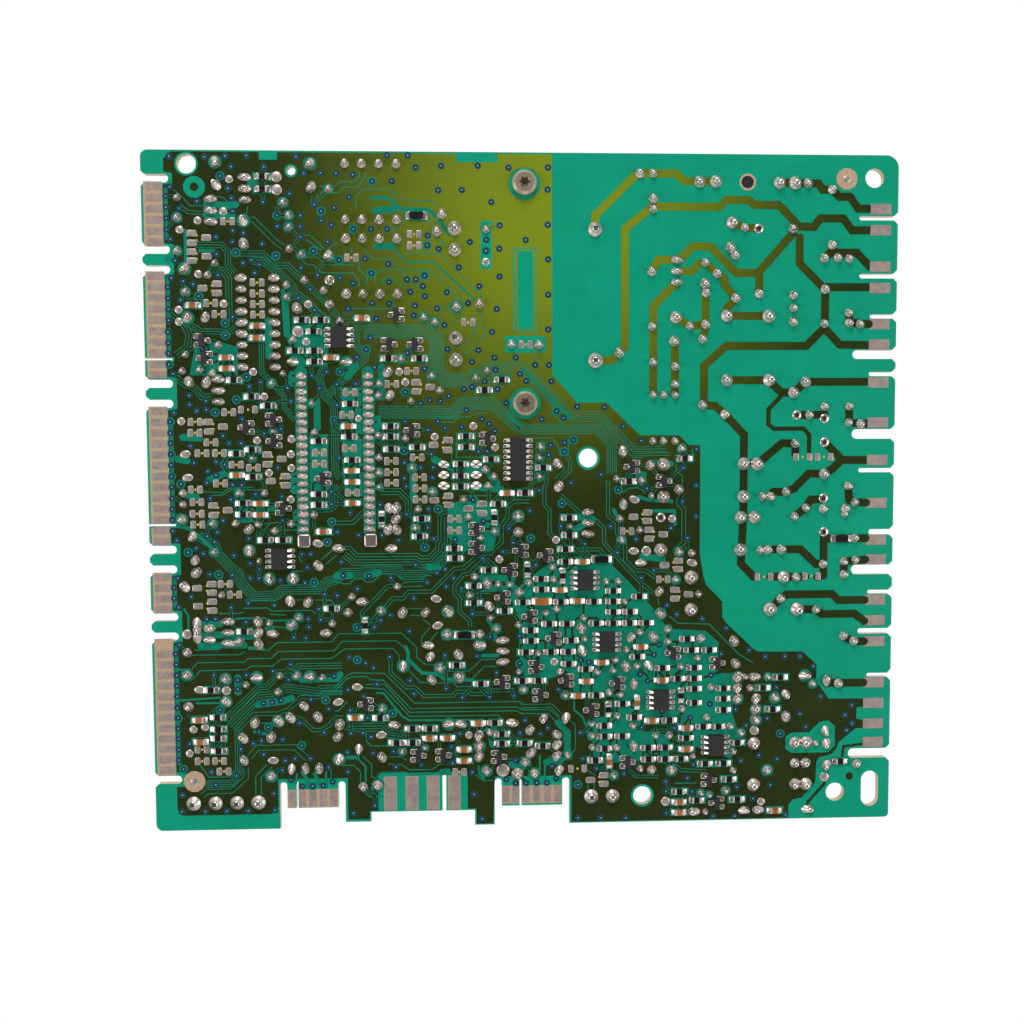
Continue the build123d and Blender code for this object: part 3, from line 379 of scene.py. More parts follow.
# %% [markdown]
# The copper pour covers the low voltage two thirds of the board. It is one flat area with a stepped right
# edge that keeps clear of the mains side. Holes for screws are left out of it. It stands 0.05 mm above the
# laminate, which is copper of 35 micrometres with lacquer on it.
# %% Copper pour
POUR_EDGE = (
    (93.6, 157.1), (93.6, 106.6), (99.4, 100.1), (106.3, 100.1), (114.2, 92.5), (123.6, 92.4),
    (125.6, 90.2), (128.5, 90.1), (128.5, 64.5), (129.4, 59.1), (130.1, 57), (134, 53), (134, 49.4),
    (134.9, 47.9), (141.8, 41.3), (143, 40.8), (153.5, 40.7), (156.9, 37.6), (156.9, 33.5), (160, 29.2),
    (168.4, 29.1), (168.4, 27.2), (166.8, 26.9), (166.8, 24.1), (168.4, 23.9), (168.4, 21.9), (166.7, 21.9),
    (162.6, 18.6), (162, 17), (160.8, 15.6), (158, 15), (157.2, 14), (157, 9), (153.7, 5.1), (151.5, 4.7),
    (150.5, 3.5), (150.5, 0.3),
)
LOWER_EDGE = (
    (98.0, 0.3), (98.0, 11.6), (79.7, 11.6), (79.2, 0.3), (75.3, 0.3), (75.3, 4.0), (73.2, 4.0),
    (73.2, 12.9), (52.0, 12.9), (52.0, 3.9), (50.0, 3.9), (49.9, 1.9), (44.9, 1.9), (44.9, 11.9),
    (28.5, 11.9), (28.5, 5.2), (27.0, 3.6), (6.0, 3.6), (5.0, 5.0), (5.0, 10.4), (7.1, 10.6), (7.1, 13.8),
    (5.0, 14.0),
)
LEFT_EDGE = (
    (5.0, 44.6), (7.1, 44.9), (7.1, 52.0), (5.0, 52.3), (5.0, 60.2), (7.1, 60.6), (7.1, 67.8), (5.0, 68.0),
    (5.0, 71.4), (6.7, 71.5), (6.7, 72.7), (5.0, 72.8), (5.0, 98.5), (7.1, 98.9), (7.1, 106.1),
    (5.0, 106.3), (5.0, 109.7), (6.7, 109.8), (6.7, 110.8), (5.0, 110.9), (5.0, 129.2), (7.1, 129.6),
    (7.1, 136.3), (5.0, 136.6), (5.0, 149.7), (7.1, 149.9), (7.1, 152.3), (5.2, 152.6), (5.2, 155.5),
    (6.8, 157.1), (26.7, 157.1), (26.7, 155.4), (30.8, 155.4), (30.8, 157.1), (71.5, 157.1), (71.5, 155.2),
    (81.1, 155.2), (81.1, 157.1),
)
SCREW_HOLES = ((10.3, 154.4, 2.7), (33.9, 153.0, 1.5), (102.0, 87.2, 2.8), (115.0, 6.4, 2.8),
               (87.2, 150.4, 3.7), (87.2, 100.0, 3.7), (42.3, 128.3, 0.6))
COPPER_TOP = 0.05
pour = bmesh.new()
area(pour, POUR_EDGE + LOWER_EDGE + LEFT_EDGE, 0.0, COPPER_TOP, SCREW_HOLES)
piece("copper_pour", pour, OLIVE)

# %% [markdown]
# Windows in the pour show the bright laminate between copper areas. Each window is a patch that stands a
# hundredth of a millimetre over the copper, so its colour lies on top without a second cut in the pour.
# %% Windows in the pour
WINDOWS = (
    ((77.1, 130.9), (79.6, 130.9), (79.6, 141.9), (77.1, 141.9)),
    ((82.6, 111.7), (92.1, 111.7), (92.1, 115.6), (82.6, 115.6)),
    ((85.5, 117.2), (89.2, 117.2), (89.2, 135.1), (85.5, 135.1)),
    ((149.6, 20.1), (149.6, 17.1), (151.2, 16.1), (160, 16.1), (161.6, 17.7), (161.6, 22.4), (160, 23.9),
     (157.9, 23.6), (155.3, 21.1), (150.9, 21.0)),
)
windows = bmesh.new()
for outline in WINDOWS:
    area(windows, outline, COPPER_TOP, COPPER_TOP + 0.012)
frame_lines = ((84.7, 116.6), (89.9, 116.6), (89.9, 135.7), (84.7, 135.7), (84.7, 116.6))
strip(windows, frame_lines, 0.35, COPPER_TOP, COPPER_TOP + 0.011)
piece("laminate_windows", windows, MASK)

# %% [markdown]
# On the mains side wide tracks run singly between the relays, the fuse and the edge contacts.
# %% Mains tracks
MAINS_TRACKS = (
    ((103.6, 140.1), (103.7, 143.5), (105, 144.6), (113, 152.5), (114, 152.95), (122.5, 152.95),
     (124.5, 151.2), (131.8, 151.2)),
    ((117.2, 145.4), (132.7, 145.4), (134.3, 147), (139.5, 147), (141, 145.9), (146.7, 145.9), (151.5, 141),
     (155, 140.9), (156.5, 142.9), (162, 142.9), (164, 140.2), (168.4, 140.2)),
    ((117.2, 145.5), (110.6, 140.3), (110.6, 113.2), (109.5, 111.9), (107.5, 109.9), (103.9, 109.9)),
    ((116.9, 130.5), (118.4, 133.2), (122.8, 133.2), (124.5, 134.2), (126.4, 136.3), (130.6, 136.3),
     (135.9, 131), (137, 130.2), (142, 130.3), (150.1, 139.5)),
    ((122.8, 130.6), (126.3, 130.6), (128, 132.3), (129.5, 132.6), (132.3, 130.1), (134, 129), (134, 127.5),
     (136.7, 124.4), (134.6, 122), (134.6, 120.3), (144.5, 120.3)),
    ((129.6, 125.6), (129.6, 118.4), (125.9, 117.9), (122.6, 119.9)),
    ((129.6, 118), (128.9, 114.9)),
    ((122.9, 128), (121.5, 126.8), (117.6, 122.8), (117.3, 122), (117.3, 102)),
    ((122.4, 114.4), (122.4, 101.9)),
    ((146.8, 151), (156, 150.9), (157, 149.5), (159.2, 149.5), (161, 147.9), (163.5, 147.9), (165.5, 145.2),
     (168.4, 145.2)),
    ((135.7, 141.8), (138.7, 140.7), (142, 140.5)),
    ((151.7, 138.5), (151.7, 132.5), (157.3, 127), (168.4, 127)),
    ((157.9, 126.5), (157.9, 118.8)),
    ((142.2, 125.4), (142.2, 130.3)),
    ((157.6, 133.8), (159, 135), (165.3, 135), (168.4, 131.8)),
    ((157.8, 117.5), (153.5, 113.3), (134.5, 113.3), (129.3, 108.7), (129.3, 99.5), (132, 99.3),
     (134.2, 97.5), (138.9, 92.5), (138.9, 73), (138.4, 62), (141.5, 58.8), (142.4, 58.8)),
    ((157.8, 117.5), (161.5, 113.6), (168.4, 113.5)),
    ((134.7, 105.3), (144.7, 105.3), (147.7, 102.4), (150.6, 102.4), (153.5, 104.9), (168.4, 104.9)),
    ((151.5, 97.1), (158.1, 97.2)),
    ((164, 99), (164, 95.3), (168.4, 95)),
    ((142.1, 85.6), (148, 90.5), (151.2, 90.4), (151.2, 88)),
    ((158.2, 90.7), (162.5, 86.5), (168.4, 86.4)),
    ((158.2, 83.2), (160.3, 84.5), (162.3, 86.4)),
    ((158.2, 83.2), (154.5, 83.3), (151, 79.8), (149.1, 79), (146, 79)),
    ((164, 80.3), (164.3, 77), (165.7, 76.4), (168.4, 76.3)),
    ((158.1, 77.2), (155, 77.1), (153.9, 75.2), (151.2, 73.1)),
    ((158.3, 69), (158.3, 59), (156.9, 58.6)),
    ((158.3, 67.8), (168.4, 67.8)),
    ((144, 65.3), (152.7, 65.3), (156.5, 61.7), (158.2, 61.7)),
    ((163.3, 59.2), (163.2, 62.3), (168.4, 62.7)),
    ((145.6, 58.8), (153.9, 58.7)),
    ((145.5, 51), (148.1, 53.5), (149.5, 54.5), (160.5, 54.5), (162, 53), (168.4, 53)),
    ((152, 50.9), (156.6, 50.9), (158, 49.7), (166, 49.7), (168.4, 47.9)),
    ((163.4, 44.2), (165.9, 43), (168.4, 43)),
    ((159.4, 33), (168.4, 33)),
    ((163.7, 121), (163.7, 118.8), (168.4, 118.4)),
)
THIN_TRACKS = (
    ((155.1, 2.3), (155.2, 4), (159.2, 8.4), (159.2, 10.1)),
    ((163.5, 15.3), (163.8, 17.5), (168.4, 18)),
)
tracks = bmesh.new()
for number, route in enumerate(MAINS_TRACKS):
    strip(tracks, route, 2.0, 0.0, COPPER_TOP + 0.0009 * number)
strip(tracks, ((147.6, 101.5), (144.7, 98.5), (144.7, 95), (146, 93.9), (153.2, 93.9), (154.5, 92.4),
               (154.5, 88)),
      1.1, 0.0, COPPER_TOP - 0.001)
for route in THIN_TRACKS:
    strip(tracks, route, 0.7, 0.0, COPPER_TOP - 0.002)
piece("mains_tracks", tracks, OLIVE)


# %% [markdown]
# Vias and joints are told in one place, because gaps, tracks and solder all need them. Round joints are
# grouped by the width of their solder in millimetres.
# %% Places of vias and joints
VIAS = (
    (6.5, 156), (19.1, 156.2), (23.9, 156.3), (35.1, 156.1), (55.8, 156.6), (60.5, 156.6), (6.5, 149.2),
    (14.5, 155.9), (17.9, 151.7), (19.6, 148.9), (20.4, 153.8), (27.8, 153.8), (36.8, 152.4), (40.6, 152.5),
    (44.1, 152.5), (47.9, 152.2), (52.3, 150.7), (56.8, 150.8), (62.3, 153.9), (67.4, 148.8), (68.1, 154.3),
    (72.8, 148.9), (76.5, 154.4), (83.6, 154), (92.6, 149.1), (92.7, 154.1), (5.6, 147.1), (5.6, 144.6),
    (5.6, 142.2), (8.5, 144.4), (12.6, 146), (20.4, 146.7), (20.5, 143.8), (27.5, 145.9), (30.6, 142.9),
    (30.6, 140.5), (33.5, 147.8), (35.9, 142.9), (35.9, 140.4), (39.1, 145.4), (40.6, 141.8), (40.6, 143.9),
    (42.9, 140.8), (43.6, 144.7), (47, 147.1), (55.6, 140), (79.6, 146.2), (81.5, 140.9), (92.6, 141.1),
    (5.6, 139.6), (6.4, 137.5), (7.4, 132.6), (16.7, 138), (16.7, 134.1), (20.4, 136.9), (20.5, 139.4),
    (21.1, 134.5), (22.7, 132.1), (22.9, 138.9), (24.6, 132.8), (27.1, 136.5), (30.2, 133.8), (35.9, 138.1),
    (38.7, 134.9), (42, 137), (44.5, 132.9), (47.9, 139.9), (50.5, 133.2), (51.9, 139.9), (64.8, 136.3),
    (64.9, 138.5), (67.4, 135.5), (74.6, 137.1), (78.3, 135.1), (78.4, 137.6), (81.4, 135.6), (87.5, 137.6),
    (92.7, 133.2), (5.6, 126.6), (5.6, 124.1), (6.4, 128.7), (9.1, 128), (11.3, 127.3), (12.5, 124.6),
    (16.9, 129.4), (25.3, 129.9), (26.4, 131.8), (35.1, 124.3), (35.9, 131.1), (37.9, 126.2), (39.6, 129.4),
    (44.7, 128.8), (47.7, 127.6), (51.9, 129.9), (55.8, 132), (55.9, 127.9), (60.1, 128.5), (60.8, 125.7),
    (62.1, 128.5), (63.7, 127), (64.1, 129.4), (64.1, 124.7), (69.2, 125.6), (72, 131.3), (76.7, 127),
    (81.4, 129.2), (92.7, 125.1), (5.4, 116.5), (5.6, 121.6), (5.6, 119.1), (8.4, 123.7), (18.4, 118.5),
    (20.1, 119.9), (38.8, 121.5), (46.5, 121.8), (52, 123.1), (52.9, 119.6), (55.9, 123), (61.5, 120.3),
    (61.8, 122.5), (66.9, 121.9), (68.6, 118.1), (74.1, 123.1), (79.6, 116.5), (80.7, 121.8), (92.7, 117.1),
    (5.4, 111.6), (5.4, 109.1), (5.4, 114), (13.1, 112.5), (18.4, 115.7), (48.3, 110.7), (50.5, 112.5),
    (51.5, 115.2), (52.4, 108.4), (60, 111.7), (63.9, 108.1), (69.3, 112.6), (74.9, 109.6), (76.4, 112.3),
    (80.1, 110.6), (85.1, 110.6), (89.6, 108.9), (92.8, 108.9), (6.3, 106.9), (9.9, 102), (13.7, 100.7),
    (20.6, 101), (23, 106.2), (23.6, 104), (26.2, 105), (32.3, 103.7), (33.1, 100.6), (37.9, 106.5),
    (39.7, 103.6), (41.3, 107.4), (43.6, 104.5), (44.4, 107.4), (48, 104.6), (59.4, 102.7), (62.9, 100.1),
    (65.1, 100.8), (67.5, 100.6), (69.4, 101.7), (73, 103.3), (74.9, 103.8), (77.8, 105.1), (80.4, 107.8),
    (80.8, 103.3), (82.8, 100.1), (86, 106.8), (87.5, 105.2), (93.4, 105.1), (5.4, 93.4), (5.4, 96),
    (6.3, 98.1), (9.9, 99.9), (11.5, 98.5), (13.7, 98.7), (15.7, 98.1), (17.4, 92.7), (21.8, 96.5),
    (26.8, 93.2), (30.7, 94.3), (42.9, 96.2), (43.6, 99.7), (59.3, 95.9), (64.6, 93.9), (66.9, 95.9),
    (68.5, 94.3), (72.4, 94.6), (73.5, 98.5), (77.1, 96.4), (78.8, 95.3), (80.1, 93.6), (91.1, 96.3),
    (94.6, 98.2), (96.2, 96.6), (99.4, 99.2), (105.8, 99.1), (110.3, 94.6), (5.4, 88.5), (5.4, 91),
    (5.4, 86), (9.9, 90.4), (10.6, 86.5), (13.7, 84.5), (15.7, 86.7), (17.6, 86.1), (18.7, 91), (21.5, 91),
    (29.8, 85.3), (43.9, 87.5), (59, 86.3), (59, 89.1), (62.8, 85.2), (65.3, 88.3), (65.7, 85.2),
    (76.3, 88.8), (78.3, 88.9), (92.7, 88), (93.1, 90.3), (96.4, 88.7), (96.4, 90.8), (98.5, 91.4),
    (114.5, 91.2), (124.5, 84.8), (127.6, 89.2), (5.4, 80.9), (5.4, 83.4), (5.4, 78.3), (7.5, 81.6),
    (13.5, 81.9), (14.1, 78.3), (15.6, 83.6), (18.9, 78), (19.3, 81.4), (21.4, 81.3), (24.6, 79.2),
    (30.6, 78.6), (42, 76.8), (42, 79.7), (53.3, 76.5), (59, 82.7), (59.4, 80.8), (65.5, 82.8),
    (74.9, 77.5), (90.4, 79.7), (95.8, 76.6), (97.9, 81.4), (105, 83.3), (109.1, 79.7), (115.9, 80),
    (124.3, 76.9), (127.6, 80.6), (5.4, 75.8), (5.4, 70.8), (5.4, 73.3), (6.3, 68.6), (13.3, 69.5),
    (14.9, 68.1), (15.6, 70.4), (17, 73.1), (22.8, 68.9), (30.7, 73.1), (42, 72.6), (43.3, 70.2),
    (46.3, 74.8), (48.2, 69.5), (53.6, 69.4), (57.5, 68.2), (59.4, 74.2), (64.3, 71.1), (64.5, 75.5),
    (65.7, 68.5), (66.7, 75.5), (70.7, 68.3), (77.3, 72.5), (83.3, 70.8), (88.2, 74.9), (88.4, 68.4),
    (95.5, 71.2), (107.3, 71.1), (121.6, 70.6), (125.6, 68.2), (127.6, 73.3), (8.8, 65.8), (10.6, 66.7),
    (12.3, 65.4), (13.7, 60.6), (15.7, 60.5), (18.8, 60.4), (19.3, 65), (23, 63.1), (25.1, 61.7),
    (35, 65.1), (36.2, 62), (37, 65.1), (40.9, 67.9), (44.1, 63.3), (44.5, 60), (61.4, 62.4), (63.6, 66.5),
    (66.3, 60.5), (68.3, 61.3), (77.1, 63.8), (81.9, 65.3), (84.3, 67.4), (89.6, 62.1), (101.2, 67),
    (108.9, 64.9), (113.4, 68), (117.6, 60.6), (5.4, 57.6), (5.4, 55.1), (6.3, 59.8), (6.3, 52.9),
    (9.3, 55.4), (18.4, 52.8), (22.4, 53.8), (22.9, 59.6), (25, 59.6), (28.4, 53.2), (29.9, 59.1),
    (35.6, 58.4), (37.7, 58.5), (38.7, 52.2), (40.1, 55.7), (43, 55.4), (47.8, 56.9), (50.5, 59.9),
    (55.6, 59.4), (60.9, 54.5), (64, 58.2), (68.5, 57.2), (70.3, 59.1), (72.1, 56.7), (114.6, 58.8),
    (120.8, 52.2), (6.3, 44.2), (12.8, 50.1), (14.8, 50.1), (21.8, 49.4), (32.8, 45.6), (35.6, 45.4),
    (36.2, 49.9), (36.3, 48), (39.1, 49.7), (47.5, 47.8), (51.6, 47.8), (53.1, 49.4), (55.3, 50.6),
    (59.8, 46.7), (74.6, 50.7), (78.7, 45.2), (85.7, 45.3), (123.1, 50), (129.2, 48.9), (135.1, 46.6),
    (5.4, 42), (5.5, 37), (5.5, 39.5), (14.1, 36.9), (21.6, 36.8), (27.8, 37.7), (32, 39.2), (42, 36.3),
    (45.6, 40.7), (47.5, 40.1), (49.4, 39.3), (51.3, 38.2), (55.1, 40.7), (68.1, 40.9), (75.7, 40.6),
    (80.2, 36.6), (85.7, 38.7), (100.2, 39.3), (102.1, 38.8), (117.7, 40.4), (119, 42.8), (133.8, 40.4),
    (140.5, 41.2), (144.5, 39.6), (149.2, 39.6), (152.9, 39.6), (156.2, 37.1), (5.5, 29.3), (5.5, 32),
    (5.5, 34.5), (15.4, 28.7), (19.6, 35.7), (19.6, 33.5), (25.5, 30.1), (27.5, 30.3), (29.5, 30.7),
    (31.4, 35.6), (36.5, 30.8), (40, 30.6), (40.6, 28.5), (45.2, 33), (45.7, 28.1), (48.9, 31.4),
    (52.1, 34.3), (59.8, 35), (60.7, 31.8), (68.3, 33), (72.1, 30.8), (78.5, 30.8), (84.3, 31),
    (94.9, 32.4), (114.4, 35.8), (116.2, 34.1), (131.2, 28.3), (131.4, 35.3), (147.2, 32.1), (158, 29.8),
    (5.6, 26.9), (5.6, 21.9), (5.6, 24.4), (8.2, 20.7), (22.9, 20.6), (24.3, 23.3), (24.9, 21.2),
    (26.5, 24.4), (29.8, 21.4), (33.8, 25.3), (39.5, 22.9), (45.8, 22.6), (48.6, 22.7), (49.7, 26.3),
    (50.5, 21.7), (55.6, 27.2), (71.5, 22.1), (85.7, 22.1), (86.9, 25.1), (90.6, 21.8), (92.3, 23.2),
    (100.1, 21.9), (114.8, 22.9), (119.7, 26.7), (122.7, 22.6), (126.5, 25.1), (137.4, 26.9), (140, 23),
    (145.1, 24.6), (148.3, 20.9), (153, 25.6), (154.5, 22.3), (164, 25.2), (164.5, 21.4), (165.6, 27.6),
    (165.8, 23.1), (5.6, 16.9), (5.6, 19.4), (6.6, 14.7), (13.1, 13.9), (18.9, 12.9), (20, 19.3),
    (25.3, 17.9), (29.6, 14.1), (30.3, 16.3), (32.6, 16.8), (34.2, 19.9), (36.2, 16.8), (40.4, 14.5),
    (44.9, 13.4), (44.9, 18.1), (50.9, 17.8), (55.8, 18.1), (56.3, 14.4), (62.2, 14.8), (69.4, 19),
    (69.7, 15.1), (74.3, 12.8), (84.6, 15.5), (93.3, 13.9), (100.6, 15.6), (104, 13.2), (127.3, 13.7),
    (138.8, 14.4), (143.1, 15.7), (147.6, 14.7), (6, 4.5), (6.2, 8.5), (11.5, 4.5), (14, 10.8), (16.5, 4.5),
    (21.5, 4.5), (27.5, 8.5), (27.7, 4.5), (31.6, 11.7), (34.2, 10.1), (36.6, 10.1), (39.1, 10.2),
    (41.3, 11.1), (51.2, 5.2), (74.7, 7.4), (82.4, 10.9), (84.6, 9.9), (87.1, 9.9), (89.6, 9.9),
    (92.1, 9.9), (94.3, 10.9), (99.5, 9.3), (110.6, 11.8), (120.6, 9.7), (120.7, 7.3), (125.9, 10.4),
    (127, 7.1), (137.9, 8), (141.8, 5.1), (146, 8.4), (46.1, 3.4), (76.6, 1.4), (99.5, 1.2), (105, 1.1),
    (111, 0.9), (120.8, 2), (132.2, 1), (137.4, 0.9), (149.8, 1),
)
ROUND_JOINTS = {
    1.6: (
        (31.3, 107), (37.8, 100.1), (24, 87.5), (28.9, 93.7), (53, 92.7), (53.1, 80.7), (25.1, 63.6),
        (97.7, 71.2), (110.7, 53.1), (101.1, 44.4), (90.1, 41), (117, 78.2), (63.1, 18.9), (57.8, 18.1),
        (85.5, 36.7), (127.1, 15.8), (129.1, 6.7), (130.2, 2.1), (131.1, 6.3), (139.6, 34.8), (145.2, 34.7),
        (156.9, 18.4),
    ),
    1.9: (
        (8.1, 146.8), (8, 142.3), (7.8, 134.8), (32, 145.8), (33.2, 142.9), (33.2, 140.3), (33.2, 135.4),
        (36, 134.1), (42.3, 148.9), (9.5, 125.6), (14.6, 129.4), (16.3, 132.1), (32.4, 127.2),
        (32.4, 124.4), (36.5, 128.3), (40.9, 126), (42.3, 128.3), (42.4, 133.6), (42.5, 122.9), (44.5, 119),
        (63.8, 119.9), (66.4, 118.8), (78.3, 140), (16.7, 113.5), (9.2, 111.3), (8.4, 107.6), (12.4, 107.9),
        (15.2, 107.2), (28.7, 104.7), (38.3, 93.4), (7.9, 79.5), (20.8, 79.4), (26.6, 79.4), (33.7, 114.7),
        (58.5, 110.3), (65.5, 106.4), (53.4, 104.6), (67.4, 103), (53.2, 101.9), (60.7, 100.6),
        (53.1, 87.5), (53.1, 84), (59.3, 92), (60.8, 85.1), (77.9, 84.6), (79.9, 83), (78.5, 80.8),
        (65.5, 79.5), (78.4, 107.6), (75.8, 105.9), (90.8, 89.9), (90.5, 87.3), (90.4, 82.9), (124.1, 89.3),
        (108.7, 82.3), (114.6, 81.9), (7.9, 76.9), (14.6, 72.4), (19.8, 72.4), (25, 72.2), (32.6, 72.2),
        (37.9, 74.3), (28.8, 70.6), (14.8, 65.8), (27.1, 49), (34, 50.2), (41.8, 48.7), (16.3, 55.7),
        (62.1, 75.4), (61.4, 71.1), (73.8, 73.6), (76.6, 68.6), (72.7, 77.7), (79.9, 70.1), (75.2, 59.4),
        (80.7, 57.6), (83.4, 57.6), (87.9, 57.9), (74, 55.1), (78.9, 49.7), (85.4, 47.9), (80.2, 47.1),
        (46.4, 55), (53.2, 51.6), (57, 57.3), (93.5, 61.5), (93.8, 58.6), (106.2, 58), (109.1, 58),
        (94.5, 51.6), (91.9, 50.7), (100.9, 49.4), (114.3, 45.8), (111.1, 41.7), (120.9, 46.4), (121, 43.5),
        (109.5, 72.9), (114.2, 70.2), (109.9, 67.8), (123.6, 64.9), (126.6, 64.6), (122.8, 58.3),
        (128.3, 54.8), (21.5, 34.5), (29.4, 36.5), (33.3, 36.5), (39.3, 36), (28.9, 32.8), (53.2, 28.4),
        (78.5, 22.3), (86.6, 32.5), (95.3, 36.6), (108.4, 39.3), (107.9, 36.8), (104.2, 36.4),
        (113.6, 37.8), (124.1, 37.5), (128.1, 39.5), (96.5, 31), (107, 31.5), (109.6, 30.9), (131.4, 32.4),
        (108.9, 25.8), (124.4, 27.3), (112.7, 23.4), (130.4, 25.1), (102.8, 24), (102.9, 21.1),
        (102.9, 18.3), (108.8, 18.1), (118.1, 20.9), (121.4, 20.9), (97, 16.5), (114.5, 12.9),
        (108.1, 11.4), (140.8, 32.1), (136.1, 22.9), (138.7, 21.2), (136.9, 16.7), (136.9, 12.1),
        (135.1, 7.2), (156, 32.9),
    ),
    2.4: (
        (68.2, 143.4), (67, 139.5), (71.4, 122.3), (76.7, 123), (84.1, 113.7), (90.5, 113.6), (116.7, 85.4),
        (123.5, 79.7), (7.5, 73.4), (8.1, 42.3), (85.5, 73.6), (85.5, 69.9), (85.7, 55.6), (68.6, 45.8),
        (76.3, 45.8), (45.5, 51.3), (128.9, 44.1), (16.8, 35.9), (7.9, 37), (8.1, 29.5), (27, 12.6),
        (76, 21.6), (76, 19), (76, 16.5), (77.7, 13), (86.9, 14.9), (48.5, 9.7), (51.9, 10), (66.9, 37.8),
        (94.4, 21.5), (94.5, 19), (94.5, 16.4), (117.2, 12.6), (122, 12.4), (89.1, 12.2), (137.8, 34.7),
        (137.8, 32.1), (137.8, 29.5), (142.4, 29.5), (146.9, 29.6), (142.3, 26.9), (142.3, 24.3),
        (145.2, 12), (167, 13.2), (162.3, 32.9),
    ),
    3.2: (
        (85.1, 12.2),
    ),
}
LEANING_JOINTS = (
    (16.8, 154.8), (17, 149.6), (38.2, 154.6), (38.4, 149.3), (22.9, 141.7), (22.9, 136.5), (9.4, 130.8),
    (42, 134), (34.8, 121.9), (9.9, 119.8), (13.9, 119.8), (9.9, 105.1), (13.8, 105), (55.4, 107.3),
    (55.8, 101.9), (94.8, 85.9), (95.1, 80.6), (9.9, 69.4), (22.9, 71), (22.9, 66), (38.7, 62.4),
    (27.4, 59.4), (32.8, 59.4), (10.4, 63.9), (10.6, 61), (7.9, 57.7), (32.1, 54.1), (32.4, 48.5),
    (36.2, 53.8), (24.6, 49.3), (24.6, 46.7), (24.6, 44.1), (20.1, 44.8), (55.4, 75.7), (57, 75.7),
    (56.9, 73.2), (55.2, 70.7), (57.1, 70.7), (78.2, 57.8), (78.6, 52.4), (64.6, 40.6), (64.9, 35),
    (71.2, 41), (71.4, 35.7), (63.6, 51.1), (68.9, 51.3), (58.2, 51.1), (100.4, 46.9), (100.6, 41.6),
    (112.2, 44.6), (117.5, 44.7), (118.9, 55.5), (119.2, 50.2), (16.8, 30.6), (34.9, 29.2), (38.1, 26.6),
    (31.7, 26.5), (28.9, 25.8), (23.4, 25.4), (27.1, 21.9), (20.6, 21.8), (20.7, 16.5), (43.2, 24.7),
    (42.7, 21.8), (42.9, 16.4), (53, 16.7), (111, 37.6), (116.3, 37.9), (91.3, 25.4), (96.7, 25.6),
    (88.1, 22.7), (88.3, 17.1), (95, 12.9), (136.9, 43.4), (137.3, 38), (149.5, 30.4), (149.6, 25),
    (159.5, 18.4), (159.6, 13.1), (57, 75.7), (57, 73.2), (57, 70.7), (76, 21.6), (76, 19), (76, 16.5),
    (94.5, 21.5), (94.5, 19), (94.5, 16.4), (142.3, 29.5), (142.3, 26.9), (142.3, 24.3), (137.8, 34.7),
    (137.8, 32.1), (137.8, 29.5), (24.6, 49.3), (24.6, 46.7), (24.6, 44.1),
)
LEVEL_JOINTS = (
    (33.6, 109.7), (45.9, 109.6), (43.5, 66.4), (55.7, 66.3), (27.9, 46.5), (40.3, 46.5), (13.3, 47.9),
    (13.3, 45.3), (76.3, 43.2), (64.1, 43.3), (48.8, 53.8), (114.5, 62.4), (24, 36.2), (36.4, 36.2),
    (56, 24.4), (68.8, 24.4), (71.7, 24.4), (83.9, 24.5), (127.5, 2.2), (141.9, 34.7), (154.1, 34.9),
    (139.6, 2.3), (143.1, 2.3), (155.1, 2.3),
)
UPRIGHT_JOINTS = (
    (110.2, 88.7), (10.5, 49.2), (10.5, 47.6), (10.5, 45.8), (58.2, 38.4), (110.3, 76.3), (31.8, 14.3),
    (35, 14.3), (38.2, 14.3), (47.6, 18.8), (112.9, 33.4), (112.9, 18.3), (159.4, 33.6), (159.2, 21.4),
)
